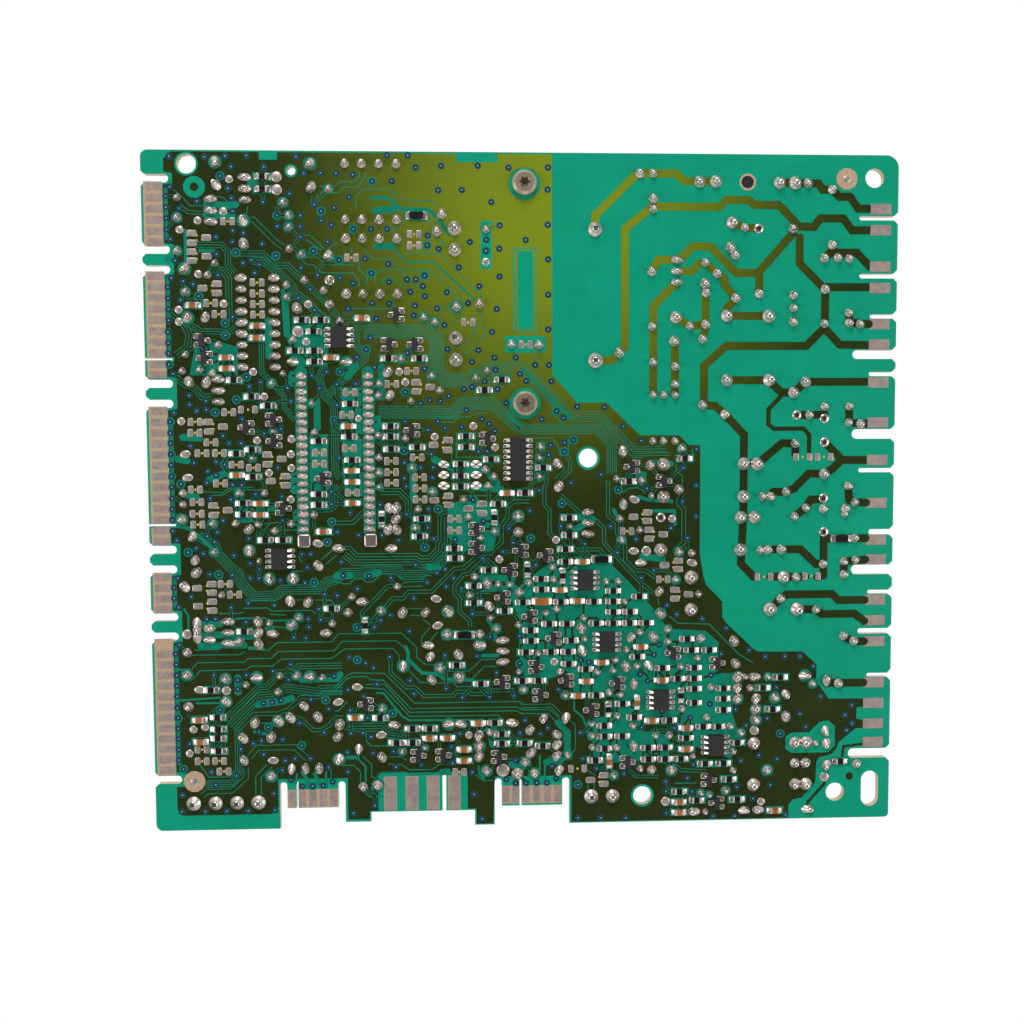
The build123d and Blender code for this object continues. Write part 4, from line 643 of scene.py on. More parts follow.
MAINS_JOINTS = (
    (119.8, 85.6, 3.4), (119.8, 78, 3.2), (119.2, 65.4, 3.3), (126.5, 58.8, 3.3), (126.5, 51.1, 3.3),
    (114, 152.9, 2.3), (117.1, 153, 2.3), (117.2, 147.2, 2.3), (117.2, 144.9, 2.3), (128, 151.1, 3),
    (131.8, 151.2, 3), (146.8, 151, 3.2), (150.5, 151, 3.2), (153.5, 151, 2.3), (159.2, 149.5, 2.3),
    (116.9, 130.5, 2.3), (129.5, 132.6, 2.3), (132.3, 130.1, 2.3), (129.4, 127.7, 2.7), (129.6, 125.6, 2.3),
    (122.6, 119.9, 2.9), (125.9, 117.9, 2.3), (129.6, 118.3, 2.3), (128.9, 114.9, 2.3), (117, 117.8, 2.3),
    (122.2, 114.4, 2.7), (117.3, 109.5, 2.3), (122.5, 108.5, 2.3), (122.5, 104.4, 2.3), (109.3, 111.7, 2.5),
    (135.7, 141.8, 3), (138.7, 140.7, 2.3), (135.4, 136.1, 2.9), (136.5, 134.4, 2.3), (136.7, 124.4, 2.3),
    (142.2, 125.4, 2.3), (134.6, 120.3, 3.2), (144.5, 120.2, 3.2), (134.7, 105.3, 3.2), (144.7, 105.3, 3.3),
    (150.1, 140.5, 2.3), (150.3, 125.1, 2.3), (150.4, 122.1, 2.3), (150.4, 118.9, 2.3), (157.9, 126.5, 2.6),
    (157.8, 118.5, 2.3), (159.4, 136.8, 2.3), (157.6, 133.7, 2.3), (160.8, 133.8, 2.3), (163.5, 133.6, 2.3),
    (163.6, 121, 2.3), (163.7, 118.7, 2.3), (166.3, 118.4, 2.3), (150.6, 102.4, 3), (153.5, 104.9, 2.6),
    (154.5, 97.1, 2.3), (158.1, 99.1, 2.3), (164, 99.1, 2.3), (164, 95.3, 2.3), (166.8, 95, 2.3),
    (129, 99.5, 2.3), (134.3, 97.3, 2.3), (138.9, 85.7, 3.2), (142.1, 85.6, 3.2), (151.2, 90.4, 2.3),
    (158.2, 83.2, 2.6), (164, 80.3, 2.3), (138.9, 77.9, 3.2), (143.5, 77.9, 2.3), (145.4, 77.9, 2.3),
    (149.1, 79, 2.3), (138.3, 73, 3.3), (141.5, 73, 3.2), (153.9, 75.2, 2.3), (151.2, 73.1, 2.3),
    (158.1, 74.9, 2.3), (165.7, 76.4, 2.3), (163.4, 74.9, 2.3), (163.2, 73.6, 1.8), (165.7, 67.8, 2.3),
    (138.3, 65.3, 3.2), (143.1, 65.2, 2.3), (144.9, 65.2, 2.3), (148.1, 65.3, 2.6), (158.2, 61.7, 2.3),
    (163.2, 62.3, 2.3), (166, 62.7, 2.3), (163.3, 59.2, 2.3), (148.7, 58.7, 3.3), (151.7, 58.6, 2.3),
    (148.1, 53.5, 2.3), (145.5, 51, 3.3), (152, 51, 3.4), (156.6, 50.8, 2.3), (163.4, 44.4, 2.3),
    (165.9, 43.1, 2.3), (141.9, 18.6, 3.2), (141.9, 8.5, 3.2), (151.9, 18.6, 3.2), (154.6, 18.6, 3.2),
    (151.9, 13.6, 2.6), (154.5, 13.6, 2.6), (152, 8.5, 3.2), (154.6, 8.5, 3.2),
)
print("vias", len(VIAS), "round joints", sum(len(p) for p in ROUND_JOINTS.values()))

# %% [markdown]
# A signal track in the pour is a strip of copper between two thin gaps, and through the gaps the laminate
# shows as fine teal lines. Lines that run side by side are told once, as a route with a count and a pitch,
# and each further line is the same route moved sideways with its corners mitred.
# %% Gap lines
def beside(route, shift):
    """The route moved to its left by so many mm."""
    points = [Vector(p) for p in route]
    moved = []
    for i, p in enumerate(points):
        before = (p - points[i - 1]).normalized() if i else (points[1] - p).normalized()
        after = (points[i + 1] - p).normalized() if i + 1 < len(points) else before
        along = (before + after).normalized()
        side = Vector((-along.y, along.x))
        moved.append(tuple(p + side * shift / max(0.6, side.dot(Vector((-before.y, before.x))))))
    return moved


GAP_WIDTH = 0.19
# number of lines, pitch to the left of the route, and the route
BUNDLES = (
    (8, -0.43, ((50.0, 118.1), (66.1, 118.1), (68.2, 116.0), (68.2, 108.4), (69.6, 106.9), (73.8, 106.9),
                (74.9, 108.1), (76.7, 108.1), (78.2, 109.5), (84.0, 109.5))),
    (4, -0.5, ((50.2, 118.1), (48.9, 116.7), (48.9, 113.8), (51.0, 111.6), (50.9, 110.1), (45.5, 104.9),
               (42.3, 101.6))),
    (7, -0.45, ((53.2, 99.4), (70.0, 99.3), (72.0, 101.4), (80.2, 101.4), (87.0, 95.0))),
    (3, -0.55, ((84.0, 109.6), (87.6, 109.4), (98.4, 98.0), (105.0, 98.0), (113.2, 89.8), (120.5, 89.8))),
    (2, -0.6, ((93.6, 101.3), (98.2, 96.5), (104.8, 96.3), (112.8, 88.2), (121.3, 88.4))),
    (6, -0.43, ((86.0, 95.1), (104.6, 95.1), (108.6, 91.0), (108.6, 83.5))),
    (2, -0.72, ((97.3, 91.6), (97.3, 88.0), (98.1, 86.6), (98.1, 84.2), (95.7, 81.9))),
    (2, 0.72, ((91.8, 84.5), (91.8, 81.3), (91.3, 80.7), (91.3, 76.1), (92.5, 74.9), (92.5, 69.4),
               (93.4, 68.5))),
    (5, -0.52, ((11.8, 70.5), (15.6, 68.2), (16.8, 65.5), (19.2, 62.9), (21.2, 61.4), (21.8, 59.0),
                (24.2, 56.4), (28.0, 56.4), (30.1, 57.9), (38.6, 57.9), (40.0, 59.4), (42.1, 60.0),
                (44.0, 61.7), (48.8, 61.7),
                (49.7, 62.5), (57.3, 62.5), (58.8, 61.1), (62.3, 61.1), (63.8, 62.6), (65.2, 62.6),
                (68.5, 65.5))),
    (2, -0.7, ((43.2, 66.9), (46.2, 66.9), (47.9, 65.1), (62.0, 65.1), (62.6, 64.5), (64.4, 64.5),
               (66.1, 66.1), (66.1, 67.6), (66.7, 68.2), (66.7, 74.1), (67.9, 75.1), (71.1, 75.1))),
    (3, -0.65, ((45.2, 65.5), (47.3, 63.7), (61.4, 63.7), (62.3, 63.1), (64.9, 63.1), (67.6, 65.8),
                (67.6, 67.0), (68.2, 67.6), (68.2, 73.4))),
    (2, -0.75, ((53.8, 52.6), (55.8, 54.9), (58.2, 54.9), (59.4, 56.4), (64.9, 56.4), (70.2, 61.7),
                (72.6, 62.0), (76.4, 65.3), (78.7, 65.3), (81.2, 67.8), (81.2, 71.6), (82.6, 73.5),
                (82.6, 76.0), (84.5, 77.5),
                (88.0, 77.5))),
    (2, 0.75, ((74.4, 47.6), (74.4, 49.1), (72.0, 51.4), (72.0, 54.4), (70.8, 55.8), (70.8, 57.3),
               (72.6, 59.6), (74.1, 59.9), (77.3, 62.9), (78.2, 62.9), (79.6, 61.7))),
    (2, 0.75, ((49.1, 50.2), (49.1, 51.1), (54.9, 57.0), (56.0, 57.2))),
    (3, -0.6, ((21.8, 134.9), (27.4, 134.9), (30.2, 132.2), (33.1, 132.2), (42.6, 122.9), (44.6, 120.2))),
    (4, -0.55, ((25.0, 133.5), (28.0, 133.2), (32.0, 129.9), (34.6, 127.2), (34.8, 125.9), (37.0, 124.5),
                (40.0, 121.5), (44.0, 118.3), (46.5, 118.0))),
    (3, -0.6, ((12.0, 136.8), (18.2, 136.8), (19.9, 135.0), (19.9, 132.0), (21.2, 130.3))),
    (3, -0.65, ((15.0, 131.5), (18.5, 131.0), (20.0, 128.9), (20.0, 118.6))),
    (3, -0.62, ((16.9, 27.6), (24.3, 34.6), (26.0, 34.6), (28.8, 37.4), (31.4, 37.5), (33.6, 39.4),
                (44.0, 39.4))),
    (4, -0.6, ((17.0, 25.4), (24.2, 32.6), (27.4, 32.9), (30.5, 34.6), (33.9, 34.1), (38.0, 33.5),
               (38.9, 34.1), (43.9, 34.1))),
    (2, -0.8, ((18.9, 23.9), (23.0, 28.0), (28.9, 28.0), (29.8, 28.6), (30.6, 28.6), (33.0, 30.6),
               (33.9, 31.8), (38.3, 31.8), (39.2, 32.7), (43.9, 32.7))),
    (4, 0.5, ((18.7, 24.4), (18.7, 14.2), (17.4, 11.8), (11.8, 11.8))),
    (2, -1.05, ((10.4, 8.6), (11.8, 9.8), (17.4, 9.8), (20.6, 12.7), (20.6, 14.8))),
    (2, -1.2, ((21.5, 17.7), (23.6, 20.1), (33.0, 20.1), (35.9, 17.1))),
    (2, -0.75, ((33.0, 27.1), (34.5, 26.5), (37.1, 23.9), (38.6, 23.9), (40.4, 24.8), (42.1, 26.8),
                (44.0, 26.8))),
    (2, 0.7, ((54.9, 39.8), (54.9, 36.8), (58.8, 33.0), (60.8, 33.0), (62.9, 30.9), (70.2, 30.9),
              (70.8, 31.8), (73.2, 31.8), (74.1, 31.2), (77.0, 31.2), (77.9, 32.0), (84.4, 32.0))),
    (4, -0.62, ((45.2, 25.4), (46.4, 24.9), (53.5, 24.9), (54.9, 23.3), (57.3, 22.9), (58.5, 23.5))),
    (2, -0.8, ((86.0, 28.9), (93.4, 28.9), (95.7, 26.5))),
    (2, 0.75, ((106.3, 82.0), (106.3, 73.5), (108.4, 71.7), (108.4, 69.4), (110.4, 66.7), (110.4, 62.9),
               (113.1, 60.2), (115.4, 60.2), (117.8, 58.5))),
    (4, -0.6, ((43.4, 81.5), (43.4, 76.2), (42.0, 75.0), (37.2, 74.8))),
    (2, 0.8, ((42.0, 72.0), (47.0, 72.0), (49.4, 74.4))),
    (2, -0.7, ((8.9, 145.3), (10.6, 143.9), (14.1, 143.7))),
    (3, 0.55, ((84.2, 77.6), (86.0, 79.0), (88.0, 79.2))),
    (3, 0.7, ((5.6, 120.6), (8.0, 118.6), (9.5, 115.8), (9.0, 113.5), (6.8, 111.8))),
    (3, -0.6, ((10.0, 119.0), (13.0, 117.2), (16.0, 117.2), (19.0, 117.0), (20.5, 118.0))),
    (3, 0.65, ((6.4, 105.6), (8.8, 103.9), (11.0, 103.0), (12.4, 101.0), (15.0, 101.0))),
    (3, 0.5, ((26.0, 116.0), (26.0, 107.0), (28.4, 104.6), (31.0, 101.6), (31.0, 99.0), (34.0, 95.4))),
    (4, 0.5, ((40.2, 109.0), (38.8, 106.0), (40.0, 101.6), (42.2, 99.4), (42.2, 84.0), (43.6, 82.4))),
    (3, -0.7, ((53.4, 80.3), (58.0, 80.3), (60.5, 77.8), (60.5, 75.2), (61.8, 74.0))),
    (2, -0.7, ((97.0, 66.0), (104.8, 66.0), (106.3, 64.4))),
    (3, 0.8, ((108.4, 31.0), (108.4, 20.0), (110.4, 18.4), (112.6, 16.0))),
    (2, -0.6, ((110.4, 27.7), (110.4, 23.0), (111.9, 21.6), (116.6, 21.6), (117.2, 22.4), (120.7, 22.4),
               (122.5, 21.8))),
    (2, -0.7, ((120.1, 14.8), (123.4, 13.6), (124.5, 12.7), (130.4, 12.4))),
    (2, -0.6, ((111.9, 13.0), (113.4, 11.4), (118.8, 11.2))),
    (2, -0.7, ((95.7, 78.8), (101.0, 74.0), (104.0, 72.8), (106.1, 70.8), (106.1, 67.3), (114.2, 58.4),
               (117.8, 55.4))),
    (2, 0.9, ((123.9, 78.8), (123.0, 77.3), (123.0, 76.1), (124.2, 74.9), (124.2, 67.3), (122.0, 65.3))),
    (2, -1.1, ((24.2, 142.4), (25.4, 142.5), (30.5, 137.4), (32.2, 136.2))),
    (2, 0.75, ((36.8, 133.5), (39.6, 133.5), (41.2, 131.8), (47.9, 131.8))),
)
GAPS = {
    0.24: (
        ((17.1, 147.1), (18.6, 146.8), (20.2, 145.2)), ((7.4, 148.5), (9.5, 146.8), (11.0, 145.0),
         (15.0, 144.9)), ((24.0, 145.0), (23.6, 142.8)), ((36.0, 138.5), (38.0, 138.5), (41.3, 135.4)),
        ((37.2, 137.4), (39.0, 136.3), (40.6, 135.0)), ((36.0, 132.6), (37.4, 131.8), (38.7, 131.8),
         (40.5, 130.0), (47.6, 129.9), (49.1, 128.3), (49.1, 127.0)), ((38.6, 147.7), (38.4, 145.3)),
        ((39.8, 147.7), (39.8, 145.6)), ((40.0, 149.5), (43.7, 149.5), (45.2, 150.7), (48.0, 150.6),
         (49.4, 151.8), (49.4, 152.8)), ((40.6, 148.1), (44.7, 148.1), (45.9, 149.4), (48.8, 149.3),
         (50.5, 151.2), (50.8, 152.7)), ((48.5, 144.7), (48.6, 147.4), (50.3, 148.9), (56.4, 149.0),
         (59.0, 146.5), (66.2, 146.4), (67.6, 145.0)), ((67.3, 138.0), (69.2, 136.3)), ((64.7, 142.0),
         (66.0, 140.8)), ((50.0, 135.5), (52.3, 133.2), (56.4, 133.2), (59.1, 130.6), (65.8, 130.6),
         (70.5, 126.1), (70.5, 124.0)), ((60.2, 134.6), (67.6, 134.4), (77.4, 124.6)), ((72.3, 126.2),
         (72.3, 119.5)), ((70.5, 121.5), (70.5, 116.5)), ((49.0, 132.3), (49.0, 130.8), (50.9, 129.0),
         (50.9, 127.2)), ((52.8, 127.6), (52.8, 129.6), (54.4, 130.8), (57.9, 130.8), (59.4, 129.4),
         (61.0, 129.3)), ((54.6, 127.4), (54.6, 128.6), (55.6, 129.1), (56.7, 129.1), (58.5, 127.4),
         (62.3, 127.4), (63.3, 126.0)), ((42.0, 135.2), (44.2, 137.0)), ((46.2, 135.8), (45.9, 134.6)),
        ((47.4, 135.8), (47.4, 134.6)), ((75.8, 121.6), (75.8, 116.5), (71.9, 112.5)), ((77.6, 121.6),
         (77.6, 115.5), (73.0, 110.6)), ((47.3, 121.9), (57.0, 121.8)), ((67.6, 95.7), (70.5, 95.7),
         (71.7, 96.9), (74.6, 96.9), (75.5, 97.8), (78.2, 97.8)), ((66.5, 97.0), (70.0, 96.8), (71.3, 98.0),
         (74.3, 98.0), (75.2, 99.0), (79.3, 99.0)), ((70.0, 91.5), (70.0, 86.2)), ((71.1, 91.4),
         (71.1, 87.5), (77.3, 87.5)), ((88.2, 104.5), (93.6, 99.0), (93.6, 97.5), (96.0, 95.4)),
        ((86.0, 91.9), (93.4, 91.9), (94.8, 90.4), (95.5, 87.8)), ((96.3, 85.7), (96.3, 84.5),
         (94.2, 82.5)), ((122.8, 87.5), (122.8, 84.2), (124.3, 82.8), (124.3, 79.8)), ((111.3, 88.6),
         (112.5, 87.2), (114.8, 87.2)), ((110.1, 79.1), (111.8, 80.1), (114.0, 80.1), (115.5, 78.8)),
        ((126.6, 89.2), (126.6, 87.5)), ((21.5, 54.5), (28.9, 54.4), (30.2, 55.2)), ((21.2, 52.6),
         (26.8, 52.6), (27.7, 51.9), (37.1, 51.9), (38.0, 51.1)), ((15.6, 51.4), (20.4, 51.4),
         (21.2, 51.7)), ((27.4, 51.1), (31.0, 50.9)), ((28.3, 48.2), (31.0, 47.9)), ((33.6, 54.3),
         (35.0, 54.5)), ((38.0, 54.3), (41.5, 54.3), (42.4, 53.2)), ((25.4, 42.6), (26.8, 42.6),
         (28.9, 44.4), (41.5, 44.4), (43.2, 46.3), (57.9, 46.3), (61.4, 42.9), (61.4, 40.6), (63.2, 38.9),
         (65.8, 38.6)), ((9.8, 42.9), (15.0, 42.9)), ((9.2, 41.7), (20.4, 41.7), (21.3, 42.4)),
        ((27.4, 40.7), (29.2, 42.3), (42.1, 42.3), (44.1, 44.5), (56.7, 44.5), (58.8, 42.6)), ((8.9, 38.3),
         (10.4, 39.9), (21.2, 39.9), (22.1, 40.7), (27.4, 40.7)), ((9.5, 36.2), (10.9, 38.0), (21.5, 38.1),
         (22.7, 38.9), (27.7, 38.9), (29.8, 40.5), (41.5, 40.5), (44.6, 42.7), (55.8, 42.7), (57.3, 41.1),
         (57.3, 39.8)), ((10.9, 79.9), (17.0, 79.6), (18.6, 80.6), (24.0, 80.8)), ((14.8, 79.0),
         (16.8, 79.0), (19.2, 80.2), (27.4, 80.2)), ((26.2, 72.3), (29.8, 72.6)), ((25.0, 68.2),
         (25.3, 69.6), (27.7, 72.3)), ((26.2, 69.6), (29.2, 71.4)), ((29.0, 70.8), (34.5, 70.8)),
        ((34.2, 64.6), (35.0, 63.2)), ((39.5, 63.8), (42.1, 66.1)), ((40.4, 62.6), (43.0, 64.9)),
        ((32.7, 61.1), (35.0, 61.1)), ((42.0, 58.8), (44.4, 58.1), (46.0, 58.1), (47.0, 59.2), (49.0, 59.2),
         (50.0, 58.4), (51.5, 58.6), (53.2, 60.3), (56.5, 60.3), (58.5, 59.0), (62.5, 59.0), (63.5, 59.8),
         (65.0, 59.8)), ((57.9, 57.6), (58.8, 58.3), (63.8, 58.5)), ((57.6, 57.2), (62.9, 57.4)),
        ((59.4, 52.1), (62.6, 52.1)), ((60.0, 50.5), (62.3, 50.4)), ((63.2, 49.4), (64.6, 48.2)),
        ((64.6, 47.6), (62.6, 45.2), (62.6, 43.8)), ((66.4, 46.4), (64.6, 44.4)), ((71.7, 78.5),
         (79.4, 78.5)), ((75.2, 55.5), (78.8, 55.5)), ((85.9, 70.5), (85.9, 66.5)), ((118.6, 53.8),
         (118.9, 52.3)), ((121.3, 49.6), (123.4, 47.9), (130.9, 47.6), (138.2, 40.2), (141.5, 38.2)),
        ((10.6, 15.4), (12.4, 12.7), (17.1, 12.7), (18.3, 14.2)), ((23.3, 8.3), (23.3, 12.7), (25.9, 15.4)),
        ((24.6, 8.3), (24.6, 12.4), (27.1, 14.8)), ((24.5, 25.4), (27.4, 25.4)), ((41.0, 14.2),
         (41.0, 10.6)), ((59.6, 37.4), (62.3, 34.5), (66.7, 34.3), (70.0, 34.5), (70.8, 33.4),
         (74.6, 33.4)), ((68.2, 37.1), (73.8, 37.1), (76.7, 39.8), (80.0, 39.8)), ((74.4, 35.2),
         (77.3, 38.1), (80.2, 38.1)), ((42.0, 33.6), (45.2, 36.5), (46.4, 37.0), (53.8, 36.8), (60.8, 29.6),
         (85.5, 29.6), (86.7, 28.9)), ((42.0, 32.7), (45.0, 35.6), (46.4, 36.1), (49.6, 36.1), (50.5, 35.3),
         (53.5, 35.2), (59.9, 28.3), (84.9, 28.3), (86.4, 27.6), (92.8, 27.6), (95.1, 25.4)), ((49.6, 34.2),
         (53.8, 34.2), (59.6, 27.4), (84.9, 27.4), (86.1, 26.7), (92.5, 26.6), (96.0, 22.7), (96.0, 19.8)),
        ((48.5, 33.5), (53.8, 33.0), (59.6, 26.4), (80.5, 26.4), (81.4, 25.6)), ((42.0, 28.0), (42.9, 28.0),
         (44.9, 30.1)), ((49.4, 22.7), (49.4, 20.6), (50.5, 19.5), (54.6, 19.5)), ((42.0, 15.1),
         (46.4, 14.9), (47.9, 13.3), (47.9, 11.0)), ((48.5, 17.1), (50.5, 15.1), (50.5, 12.1), (51.4, 11.8),
         (52.9, 13.1), (58.5, 13.1), (59.9, 12.4), (65.2, 12.6)), ((54.6, 15.1), (57.6, 14.9), (59.4, 13.6),
         (64.9, 13.6), (66.4, 14.8), (68.5, 14.8)), ((54.6, 16.8), (57.6, 16.8), (58.8, 15.9)),
        ((47.9, 9.2), (49.9, 7.3), (53.2, 7.3)), ((75.2, 12.1), (77.0, 10.6), (79.2, 10.8)), ((97.8, 24.8),
         (98.9, 23.6), (98.9, 18.0), (97.8, 16.5)), ((101.9, 12.7), (103.6, 11.5)), ((101.9, 9.5),
         (101.9, 8.0)), ((103.4, 9.5), (103.4, 7.7)), ((111.9, 19.8), (114.0, 19.8), (120.0, 19.5),
         (121.0, 18.0)), ((122.8, 9.2), (128.0, 9.2)),
    ),
    0.5: (
        ((57.3, 135.2), (60.0, 132.5), (66.2, 132.5), (75.5, 124.1)), ((5.0, 38.3), (9.0, 38.3)),
        ((5.0, 31.0), (9.0, 31.2), (16.0, 31.6)), ((10.0, 30.3), (15.6, 30.3)), ((18.3, 49.9), (20.4, 50.2),
         (26.2, 50.2), (27.4, 49.6), (32.4, 49.6)), ((47.3, 16.5), (49.1, 14.6), (49.1, 11.0)),
        ((98.6, 29.5), (98.6, 27.4), (100.7, 25.6), (101.6, 23.0), (101.9, 21.5)), ((91.6, 9.9),
         (91.6, 14.8), (93.0, 16.2)), ((89.8, 10.4), (90.4, 11.2), (90.4, 16.5)), ((75.9, 14.2),
         (75.9, 12.4), (77.2, 11.0)), ((63.5, 25.4), (74.4, 25.4)), ((52.0, 32.1), (53.5, 32.1),
         (57.9, 26.5), (59.6, 25.5), (66.4, 25.5)), ((7.6, 52.5), (8.5, 51.0), (8.5, 46.5)), ((33.0, 13.0),
         (32.7, 10.7)), ((39.8, 13.3), (39.8, 10.0)),
    ),
    0.9: (
        ((52.0, 147.0), (56.0, 147.0), (58.5, 144.6), (65.2, 144.4), (67.3, 142.5), (69.8, 138.8)),
        ((5.6, 148.6), (5.6, 137.6)), ((5.6, 128.6), (5.6, 118.6)), ((5.6, 117.0), (5.6, 111.5)),
        ((5.6, 95.6), (5.6, 73.6)), ((5.6, 59.6), (5.6, 53.0)), ((5.6, 43.6), (5.6, 16.0)), ((6.5, 71.9),
         (9.0, 71.4), (11.5, 69.4), (14.2, 66.8)), ((58.8, 43.0), (59.4, 41.8), (59.4, 40.0), (62.6, 36.8),
         (66.4, 36.4), (67.9, 35.2), (74.4, 34.9)), ((77.0, 40.7), (80.5, 40.7)), ((78.2, 49.3),
         (80.0, 46.5), (80.0, 44.5)), ((44.8, 16.8), (47.5, 16.8)), ((23.3, 23.3), (25.7, 22.8)),
        ((34.2, 13.5), (35.5, 11.5), (35.5, 9.8)), ((37.1, 13.0), (38.3, 10.6)), ((20.5, 75.8),
         (30.0, 75.8)), ((20.5, 72.9), (26.0, 73.1)), ((9.8, 139.4), (9.8, 132.6)), ((13.0, 134.9),
         (16.0, 134.9)), ((26.5, 47.7), (28.0, 48.0)), ((22.5, 43.2), (25.5, 43.0)), ((58.6, 110.0),
         (60.0, 111.8)), ((83.0, 97.8), (86.0, 94.5)), ((86.4, 108.2), (89.4, 105.0), (94.4, 99.6),
         (97.8, 96.8)), ((117.0, 74.7), (122.4, 74.6), (122.6, 71.5)), ((114.0, 78.0), (116.5, 77.2),
         (121.7, 76.9)), ((108.0, 75.0), (109.0, 73.0)),
    ),
    1.7: (
        ((14.8, 145.4), (19.5, 145.0), (21.3, 145.3)), ((14.6, 142.8), (20.5, 142.7)), ((24.6, 150.2),
         (25.6, 150.3)), ((10.5, 48.8), (15.8, 49.0)), ((12.0, 46.4), (16.0, 46.4)), ((11.2, 43.9),
         (15.6, 43.8)), ((17.0, 43.9), (21.2, 43.9)), ((17.5, 45.8), (24.5, 46.0)), ((19.6, 36.2),
         (19.6, 32.8)), ((24.2, 29.8), (30.0, 30.5), (32.0, 31.2)), ((43.0, 59.9), (46.0, 60.0)),
        ((50.0, 60.0), (52.6, 60.6)), ((34.5, 35.6), (42.6, 35.7), (43.4, 36.6)), ((94.8, 24.4),
         (97.0, 22.0), (97.0, 17.5), (95.0, 14.9), (92.0, 14.9)), ((51.0, 9.4), (51.6, 10.4)),
        ((53.2, 136.0), (56.8, 136.0)), ((53.0, 144.2), (57.2, 144.4)), ((67.2, 12.9), (68.4, 13.0)),
        ((76.0, 23.0), (79.4, 23.2)), ((79.0, 20.6), (79.2, 19.4)), ((83.7, 14.5), (86.0, 13.2)),
        ((77.0, 59.2), (84.0, 59.0)), ((76.5, 56.7), (84.5, 56.7)), ((28.2, 119.0), (28.2, 111.0)),
        ((32.0, 125.6), (32.4, 116.0)), ((33.8, 74.6), (34.0, 72.6)), ((64.6, 61.8), (66.6, 61.6)),
        ((114.8, 63.8), (119.6, 63.3)), ((99.4, 73.4), (103.0, 72.8), (99.0, 70.4)), ((48.0, 108.6),
         (46.2, 106.2)), ((54.0, 108.4), (54.0, 101.6)), ((33.4, 106.8), (33.4, 104.8)), ((33.4, 83.4),
         (33.4, 80.0)), ((52.9, 96.5), (52.9, 93.5)), ((39.0, 100.5), (39.0, 94.5)), ((66.0, 87.0),
         (71.0, 84.6), (78.0, 84.4), (80.5, 81.5)), ((75.0, 80.6), (81.5, 80.0)), ((61.0, 85.0),
         (61.0, 78.0)), ((117.0, 86.0), (121.5, 85.8)), ((112.6, 83.5), (115.0, 83.2)), ((5.8, 133.0),
         (5.8, 133.1)), ((8.2, 92.4), (12.0, 92.2)), ((7.0, 87.4), (9.0, 87.0)), ((8.6, 79.2),
         (11.0, 78.6)), ((14.0, 82.6), (18.0, 84.2)),
    ),
}
# areas where most of the copper is gone and dark tracks cross bright laminate
CLEARED = (
    ((92.0, 62.0), (99.0, 64.0), (106.0, 63.6), (112.0, 57.5), (117.5, 51.5), (121.0, 46.6), (130.0, 46.0),
     (133.2, 43.2), (133.2, 36.2), (126.4, 34.0), (125.0, 28.0), (122.0, 23.6), (112.0, 23.3), (109.2, 27.0),
     (109.2, 30.2), (99.0, 31.0), (96.0, 36.0), (88.0, 33.4), (85.8, 38.0), (85.4, 50.0), (83.2, 55.0),
     (87.4, 58.4)),
    ((103.0, 14.4), (113.6, 14.6), (121.6, 15.0), (121.6, 21.0), (111.6, 22.6), (111.0, 26.6),
     (103.0, 25.2)),
    ((123.4, 19.6), (136.4, 15.0), (138.4, 20.6), (136.4, 26.6), (137.4, 35.6), (133.6, 35.8),
     (125.6, 33.0)),
    ((72.6, 65.0), (79.6, 65.6), (80.6, 70.0), (79.6, 76.0), (75.6, 78.0), (69.0, 76.6), (68.9, 69.0)),
    ((37.0, 79.8), (41.4, 79.8), (41.4, 93.0), (37.2, 93.0)), ((33.0, 108.6), (41.6, 108.6), (41.8, 118.2),
                                                               (33.6, 118.0)),
    ((45.0, 78.6), (49.2, 78.6), (49.2, 103.8), (44.4, 103.8)), ((10.0, 106.6), (21.0, 106.6),
                                                                 (21.2, 113.0), (12.0, 115.8)),
)
SUNK = COPPER_TOP - 0.01
GAP_LIFT = 0.006
CLEARED_LIFT = 0.005
levels = 0


def next_step():
    """A small extra height in mm that goes round in 13 steps, so crossing strips rarely share a plane."""
    global levels
    levels += 1
    return 0.0004 * (levels % 13)


gaps = bmesh.new()
for width, routes in GAPS.items():
    for route in routes:
        strip(gaps, route, width, SUNK, COPPER_TOP + GAP_LIFT + next_step())
for count, pitch, route in BUNDLES:
    for i in range(count):
        strip(gaps, beside(route, i * pitch), GAP_WIDTH, SUNK, COPPER_TOP + GAP_LIFT + next_step())
for outline in CLEARED:
    area(gaps, outline, SUNK, COPPER_TOP + CLEARED_LIFT + next_step())
print("gap lines", levels)

# %% [markdown]
# Chips sit in small windows of their own, because each pad is cut free of the pour. The short tracks
# between parts follow a seeded rule, not a layout: each runs from a pad or joint to one of the nearest
# pads, joints or vias, which is picked at random. It is a dark strip in a teal one, and turns at 45
# degrees as layout programs draw them.
# %% Chip windows and short tracks
pads_at = []
for x, y, w, d in islands("chip_resistors") + islands("chip_capacitors"):
    window = (w + (2.5 if w > d else 0.7), d + (2.5 if d > w else 0.7), 0.0192)
    stamp(gaps, SQUARE, x, y, SUNK, window)
    for side in (-1, 1):
        pads_at.append((x + side * (w / 2 + 0.3) * (w > d), y + side * (d / 2 + 0.3) * (d > w)))
pads_at += [(x, y) for x, y, w, d in islands("transistor_chip_leads")]
places = [p for group in ROUND_JOINTS.values() for p in group]
targets = pads_at + places + list(VIAS)
tracks_made = set()
short = bmesh.new()
TEAL_LIFT = 0.0062
TRACK_LIFT = 0.013
# the pin rows of the microcontroller, a 42 pin shrink package
PIN_ROWS = (35.4, 50.8)
PINS_IN_ROW = 21
FIRST_PIN = 106.4
PIN_PITCH = 1.778
